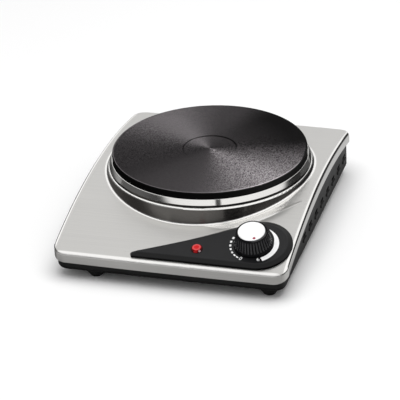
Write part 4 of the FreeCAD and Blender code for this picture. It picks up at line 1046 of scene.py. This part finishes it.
class HOTPLATE_OT_knob(bpy.types.Operator):
    """Turn the knob, press the grooves between its ribs and set the light disc and its red dot in the top"""

    bl_idname = "hotplate.knob"
    bl_label = "Knob and cap"

    def execute(self, context):
        sizes = context.scene.hot_plate_knob
        self.grip(sizes)
        self.cap(sizes)
        self.dot(sizes)
        return {"FINISHED"}

    def grip(self, sizes):
        lean = grip_lean(sizes)
        low, high, run_out = sizes.groove_low, sizes.groove_high, 0.0004
        well, well_radius = 0.0165, 0.0125
        boss, boss_end = 0.0054, sizes.low + 0.0004
        socket, socket_end = 0.00305, well - 0.001
        seat = sizes.cap + 0.0001
        profile = [
            (0.0, sizes.cap_seat),
            (seat, sizes.cap_seat),
            (seat, sizes.top, 0.00015),
            (sizes.grip_top, sizes.top, 0.0007),
            *((sizes.grip_top + lean * (sizes.top - height), height)
              for height in (high + run_out, high, low, low - run_out)),
            (sizes.grip, sizes.skirt_top, 0.0002),
            (sizes.skirt, sizes.skirt_edge, 0.0003),
            (sizes.skirt, sizes.low, 0.0002),
            (well_radius, sizes.low),
            (well_radius, well),
            (boss, well),
            (boss, boss_end),
            (socket, boss_end),
            (socket, socket_end),
            (0.0, socket_end),
        ]
        shape = turned(profile, sizes.ribs * sizes.rib_steps)
        slack = run_out / 2
        outside = well_radius + 0.001
        for vert in shape.verts:
            if vert.co.xy.length > outside and low - slack < vert.co.z < high + slack:
                turn = math.atan2(vert.co.y, vert.co.x) / TURN * sizes.ribs % 1.0
                off = 2 * abs(turn - 0.5) / sizes.groove_share
                depth = sizes.groove_depth * math.sqrt(max(0.0, 1.0 - off * off))
                vert.co.xy -= vert.co.xy.normalized() * depth
        bmesh.ops.transform(shape, matrix=panel_place(), verts=shape.verts)
        new_piece(shape, "ribbed_knob", "knob", "knob_black", stands_for=("control_knob",))

    def cap(self, sizes):
        """A disc with a fine ring turned into its face."""
        ring, half_width, depth = sizes.cap - 0.0011, 0.0002, 0.00012
        profile = [
            (0.0, sizes.cap_seat),
            (sizes.cap, sizes.cap_seat),
            (sizes.cap, sizes.top, 0.0001),
            (sizes.cap - 0.0003, sizes.crown, 0.0001),
            (ring + half_width, sizes.crown, 0.00005),
            (ring, sizes.crown - depth, 0.00005),
            (ring - half_width, sizes.crown, 0.00005),
            (0.0, sizes.crown),
        ]
        turned_piece(profile, 120, panel_place(), "turned_cap", "knob", "cap_silver", "knob_cap")

    def dot(self, sizes):
        low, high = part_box("knob_pointer")
        middle = panel_place().inverted() @ ((low + high) / 2)
        crown = sizes.crown + sizes.dot_rise
        profile = [
            (0.0, sizes.cap_seat),
            (sizes.dot, sizes.cap_seat),
            (sizes.dot, crown, 0.00008),
            (0.0, crown),
        ]
        place = panel_place() @ Matrix.Translation((middle.x, middle.y, 0.0))
        turned_piece(profile, 40, place, "red_mark", "knob", "dot_red", "knob_pointer")


class HOTPLATE_OT_dial(bpy.types.Operator):
    """Print the growing band, the row of marks and two figures round the knob"""

    bl_idname = "hotplate.dial"
    bl_label = "Dial print"

    def execute(self, context):
        sizes = context.scene.hot_plate_dial
        ink = matt("dial_ink", context.scene.hot_plate_colours.print, 0.45)
        self.sweep(sizes, ink)
        self.marks(sizes, ink)
        self.figures(sizes, ink)
        return {"FINISHED"}

    def sweep(self, sizes, ink):
        """A band that starts as a point and grows wider towards its end."""
        shape = bmesh.new()
        point, curve = 0.02, 0.7  # the start's share of the width, and the power by which the band grows
        thin = sizes.sweep_width * point
        ends = [dial_spot(sizes.sweep_radius - back, sizes.sweep_start) for back in (thin, 0.0)]
        edge = shape.edges.new([shape.verts.new(end) for end in ends])
        span = sizes.sweep_end - sizes.sweep_start
        bmesh.ops.spin(shape, geom=[edge, *edge.verts], cent=(0, 0, 0), axis=UP, angle=-span, steps=48)
        for vert in shape.verts:
            if vert.co.xy.length < sizes.sweep_radius - thin / 2:
                turn = math.atan2(-vert.co.x, -vert.co.y) % TURN
                share = min(1.0, max(0.0, (turn - sizes.sweep_start) / span / sizes.sweep_taper))
                width = max(thin, sizes.sweep_width * share ** curve)
                vert.co.xy = vert.co.xy.normalized() * (sizes.sweep_radius - width)
        printed_piece(shape, "dial_sweep", ink)

    def marks(self, sizes, ink):
        """Small blocks in a row that follows the circle."""
        shape = bmesh.new()
        width, height, first, corner = 0.0026, 0.0021, 0.7, 0.0004
        for k in range(sizes.marks):
            share = k / (sizes.marks - 1)
            turn = sizes.mark_start + (sizes.mark_end - sizes.mark_start) * share ** sizes.mark_spread
            grow = first + (1 - first) * share
            made = bmesh.ops.create_grid(shape, x_segments=1, y_segments=1, size=0.5)["verts"]
            bmesh.ops.scale(shape, verts=made, vec=(width, height * grow, 1.0))
            lay_on_dial(shape, made, sizes.mark_radius, turn)
        rounded(shape, shape.verts[:], corner, "VERTICES", 3)
        printed_piece(shape, "dial_marks", ink)

    def figures(self, sizes, ink):
        """Plain figures at the two ends of the scale."""
        for text, degrees, radius in (("0", 20.0, 0.0209), ("6", 334.0, 0.0207)):
            curve = bpy.data.curves.new("figure", "FONT")
            curve.body = text
            curve.size = sizes.figure
            curve.align_x = "CENTER"
            curve.align_y = "CENTER"
            writing = bpy.data.objects.new("figure", curve)
            mesh = bpy.data.meshes.new_from_object(writing)
            shape = bmesh.new()
            shape.from_mesh(mesh)
            bpy.data.objects.remove(writing)
            bpy.data.meshes.remove(mesh)
            bmesh.ops.remove_doubles(shape, verts=shape.verts, dist=1e-7)
            lay_on_dial(shape, shape.verts, radius, math.radians(degrees))
            printed_piece(shape, "dial_figure_" + text, ink)


class HOTPLATE_OT_stage(bpy.types.Operator):
    """Lay the pale floor, place the lights and reflectors, and set the camera"""

    bl_idname = "hotplate.stage"
    bl_label = "Studio"

    def execute(self, context):
        studio = context.scene.hot_plate_studio
        self.surround(context.scene, studio.sky)
        self.floor()
        self.tent()
        self.table()
        plate_top = (0.0, 0.0, 0.07)
        fill = self.soft_box("fill_box", (0.2, -0.1, 2.0), (0.0, 0.0, 0.0), 2.0, studio.fill_light)
        fill.visible_glossy = False
        key = self.soft_box("plate_key", (0.47, 0.13, 0.83), plate_top, 0.62, studio.plate_key)
        rim = self.soft_box("plate_rim", (0.55, 0.70, 0.75), plate_top, 0.50, studio.plate_rim)
        plate = bpy.data.collections.new("plate_only")
        plate.objects.link(bpy.data.objects["turned_plate"])
        for lamp in (key, rim):
            lamp.light_linking.receiver_collection = plate
        self.camera(context.scene, studio)
        context.scene.view_settings.view_transform = "Standard"
        return {"FINISHED"}

    def surround(self, scene, sky):
        """White to the camera and in glass and metal, and a softer fill light for the rest."""
        world = bpy.data.worlds.new("studio")
        scene.world = world
        world.use_nodes = True
        net = Net(world.node_tree)
        rays = net.add("ShaderNodeLightPath").outputs
        seen = net.most(rays["Is Camera Ray"], rays["Is Glossy Ray"], rays["Is Transmission Ray"])
        strength = net.fade(seen, RISE, (sky, 1.0))
        net.feed(net.tree.nodes["Background"], Color=(1.0, 1.0, 1.0), Strength=strength)

    def floor(self):
        """A large pale sheet that the part stands on."""
        paper, cloud_depth = (0.93, 0.93, 0.93), 0.004
        material, net, shader = new_material("floor_paper", Roughness=0.9, Specular_IOR_Level=0.1)
        cloud = net.group("Fine Speckle", Place=net.place, Scale=300.0, Cloud_Scale=2.0)["Cloud"]
        net.feed(shader, Base_Color=net.tinted(cloud, paper, cloud_depth))
        shape = bmesh.new()
        bmesh.ops.create_grid(shape, x_segments=1, y_segments=1, size=5.0)
        made = new_object(shape, "floor", material)

    def reflector(self, name, shape, glow):
        """Something that only polished and glossy faces see, as a studio's cards and walls."""
        material = bpy.data.materials.new(name)
        material.use_nodes = True
        net = Net(material.node_tree)
        net.tree.nodes.remove(net.tree.nodes["Principled BSDF"])
        emission = net.add("ShaderNodeEmission", {"Strength": glow(net)})
        net.feed(net.tree.nodes["Material Output"], Surface=emission.outputs[0])
        made = new_object(shape, name, material)
        for ray in ("camera", "diffuse", "shadow", "transmission", "volume_scatter"):
            setattr(made, "visible_" + ray, False)

    def tent(self):
        """Walls of the room: bright, with a dark foot except straight behind, and a dark gap in front."""
        shape = bmesh.new()
        bmesh.ops.create_uvsphere(shape, u_segments=48, v_segments=24, radius=4.0)
        self.reflector("studio_walls", shape, self.tent_glow)

    def tent_glow(self, net):
        rear, near_rear = (-0.30, 0.954, 0.0), (0.90, 0.97)
        rear_rise, rear_glow = (0.0, 0.5), (0.90, 1.0)
        rear_right, near_rear_right, raised = (0.61, 0.79, 0.0), (0.88, 0.97), 0.36
        foot_top, foot_lean = (0.22, 0.26), 0.09
        left_wall, foot_glow = (-0.90, -0.60), (0.11, 0.03)
        across_gap, gap_edge, gap_glow, gap_end = (0.917, 0.399, 0.0), (0.040, 0.062), 0.06, (-0.2, 0.0)

        way = net.unit(net.place)
        parts = net.parts(way)
        level = net.unit(net.vector("MULTIPLY", way, LEVEL))
        height = net.plus(parts["Z"], net.times(parts["X"], foot_lean))
        height = net.minus(height, net.towards(level, rear_right, near_rear_right, raised))
        side_wall = net.ease(height, foot_top, (net.fade(parts["X"], left_wall, foot_glow), 1.0))
        back_wall = net.fade(parts["Z"], rear_rise, rear_glow)
        wall = net.mix(net.towards(level, rear, near_rear), side_wall, back_wall)
        across = net.math("ABSOLUTE", net.vector("DOT_PRODUCT", level, across_gap))
        gap = net.most(net.ease(across, gap_edge, (gap_glow, 1.0)), net.fade(parts["Y"], gap_end))
        return net.times(wall, gap)

    def table(self):
        """Table top as polished faces see it: dark close to the part and far in front of it, pale behind."""
        shape = bmesh.new()
        bmesh.ops.create_circle(shape, cap_ends=True, segments=64, radius=3.9)
        bmesh.ops.translate(shape, verts=shape.verts, vec=(0.0, 0.0, 0.0002))
        self.reflector("table_top", shape, self.table_glow)

    def table_glow(self, net):
        left_to_right = (-0.12, 0.12)
        shade_start, shade_ends, shade_glow = 0.004, (0.038, 0.018), 0.12  # the shade is broader at the left
        close_end, ahead_start = (0.075, 0.105), (-0.15, -0.11)
        side_glow, ahead_part, ahead_glow = (0.20, 0.68), (-0.05, 0.10), (0.58, 0.48)
        front, near_front, front_glow = (-0.2, -0.98, 0.0), (0.55, 0.98), (0.05, 0.36)
        rear_start, rear_left, rear_left_glow = (0.14, 0.20), (-0.30, -0.15), (0.4, 1.0)
        rear_right, rear_right_glow, rear_glow = (0.12, 0.24), (1.0, 0.05), 0.90

        parts = net.parts(net.place)
        x, y = parts["X"], parts["Y"]
        away = past_outline(net, parts)[1]
        shadow = net.ease(away, (shade_start, net.fade(x, left_to_right, shade_ends)), (shade_glow, 1.0))
        ahead = net.ease(y, ahead_start, FALL)
        close = net.mix(ahead, net.fade(x, left_to_right, side_glow), net.fade(x, ahead_part, ahead_glow))
        facing = net.vector("DOT_PRODUCT", net.unit(net.place), front)
        behind = net.times(net.ease(y, rear_start), net.ease(x, rear_left, rear_left_glow),
                           net.ease(x, rear_right, rear_right_glow))
        far = net.mix(behind, net.ease(facing, near_front, front_glow), rear_glow)
        return net.times(shadow, net.mix(net.ease(away, close_end, FALL), far, close))

    def soft_box(self, name, place, aim, size, power):
        """Square lamp that faces its aim."""
        light = bpy.data.lights.new(name, "AREA")
        light.shape = "SQUARE"
        light.size = size
        light.energy = power
        lamp = bpy.data.objects.new(name, light)
        lamp.location = place
        lamp.rotation_euler = (Vector(aim) - Vector(place)).to_track_quat("-Z", "Y").to_euler()
        bpy.context.scene.collection.objects.link(lamp)
        return lamp

    def camera(self, scene, studio):
        data = bpy.data.cameras.new("photo_view")
        data.lens = studio.lens
        data.sensor_width = 36.0
        data.clip_end = 50.0
        tilt = Matrix.Rotation(math.pi / 2 - studio.elevation, 4, "X")
        turn = Matrix.Rotation(studio.azimuth, 4, "Z") @ tilt @ Matrix.Rotation(studio.roll, 4, "Z")
        back = turn.to_3x3() @ UP
        camera = bpy.data.objects.new("photo_view", data)
        camera.matrix_world = Matrix.Translation(Vector(studio.aim) + back * studio.distance) @ turn
        scene.collection.objects.link(camera)
        scene.camera = camera


class VIEW3D_PT_hot_plate(bpy.types.Panel):
    """Steps that dress the hot plate, in order"""

    bl_idname = "VIEW3D_PT_hot_plate"
    bl_label = "Hot Plate"
    bl_space_type = "VIEW_3D"
    bl_region_type = "UI"
    bl_category = "Hot Plate"

    def draw(self, context):
        for step in STEPS:
            self.layout.operator(step.bl_idname)


SETTINGS = {
    "hot_plate_sizes": PlateSizes,
    "hot_plate_panel": PanelSizes,
    "hot_plate_lens": LensSizes,
    "hot_plate_knob": KnobSizes,
    "hot_plate_dial": DialSizes,
    "hot_plate_colours": Colours,
    "hot_plate_studio": Studio,
}
STEPS = [
    HOTPLATE_OT_finishes,
    HOTPLATE_OT_plate,
    HOTPLATE_OT_ring,
    HOTPLATE_OT_panel,
    HOTPLATE_OT_lens,
    HOTPLATE_OT_knob,
    HOTPLATE_OT_dial,
    HOTPLATE_OT_stage,
]


def register():
    for group in SETTINGS.values():
        bpy.utils.register_class(group)
    for name, group in SETTINGS.items():
        setattr(bpy.types.Scene, name, PointerProperty(type=group))
    for step in STEPS:
        bpy.utils.register_class(step)
    bpy.utils.register_class(VIEW3D_PT_hot_plate)


def unregister():
    bpy.utils.unregister_class(VIEW3D_PT_hot_plate)
    for step in reversed(STEPS):
        bpy.utils.unregister_class(step)
    for name, group in SETTINGS.items():
        delattr(bpy.types.Scene, name)
        bpy.utils.unregister_class(group)


def main():
    register()
    for step in STEPS:
        family, name = step.bl_idname.split(".")
        getattr(getattr(bpy.ops, family), name)()


if __name__ == "__main__":
    main()
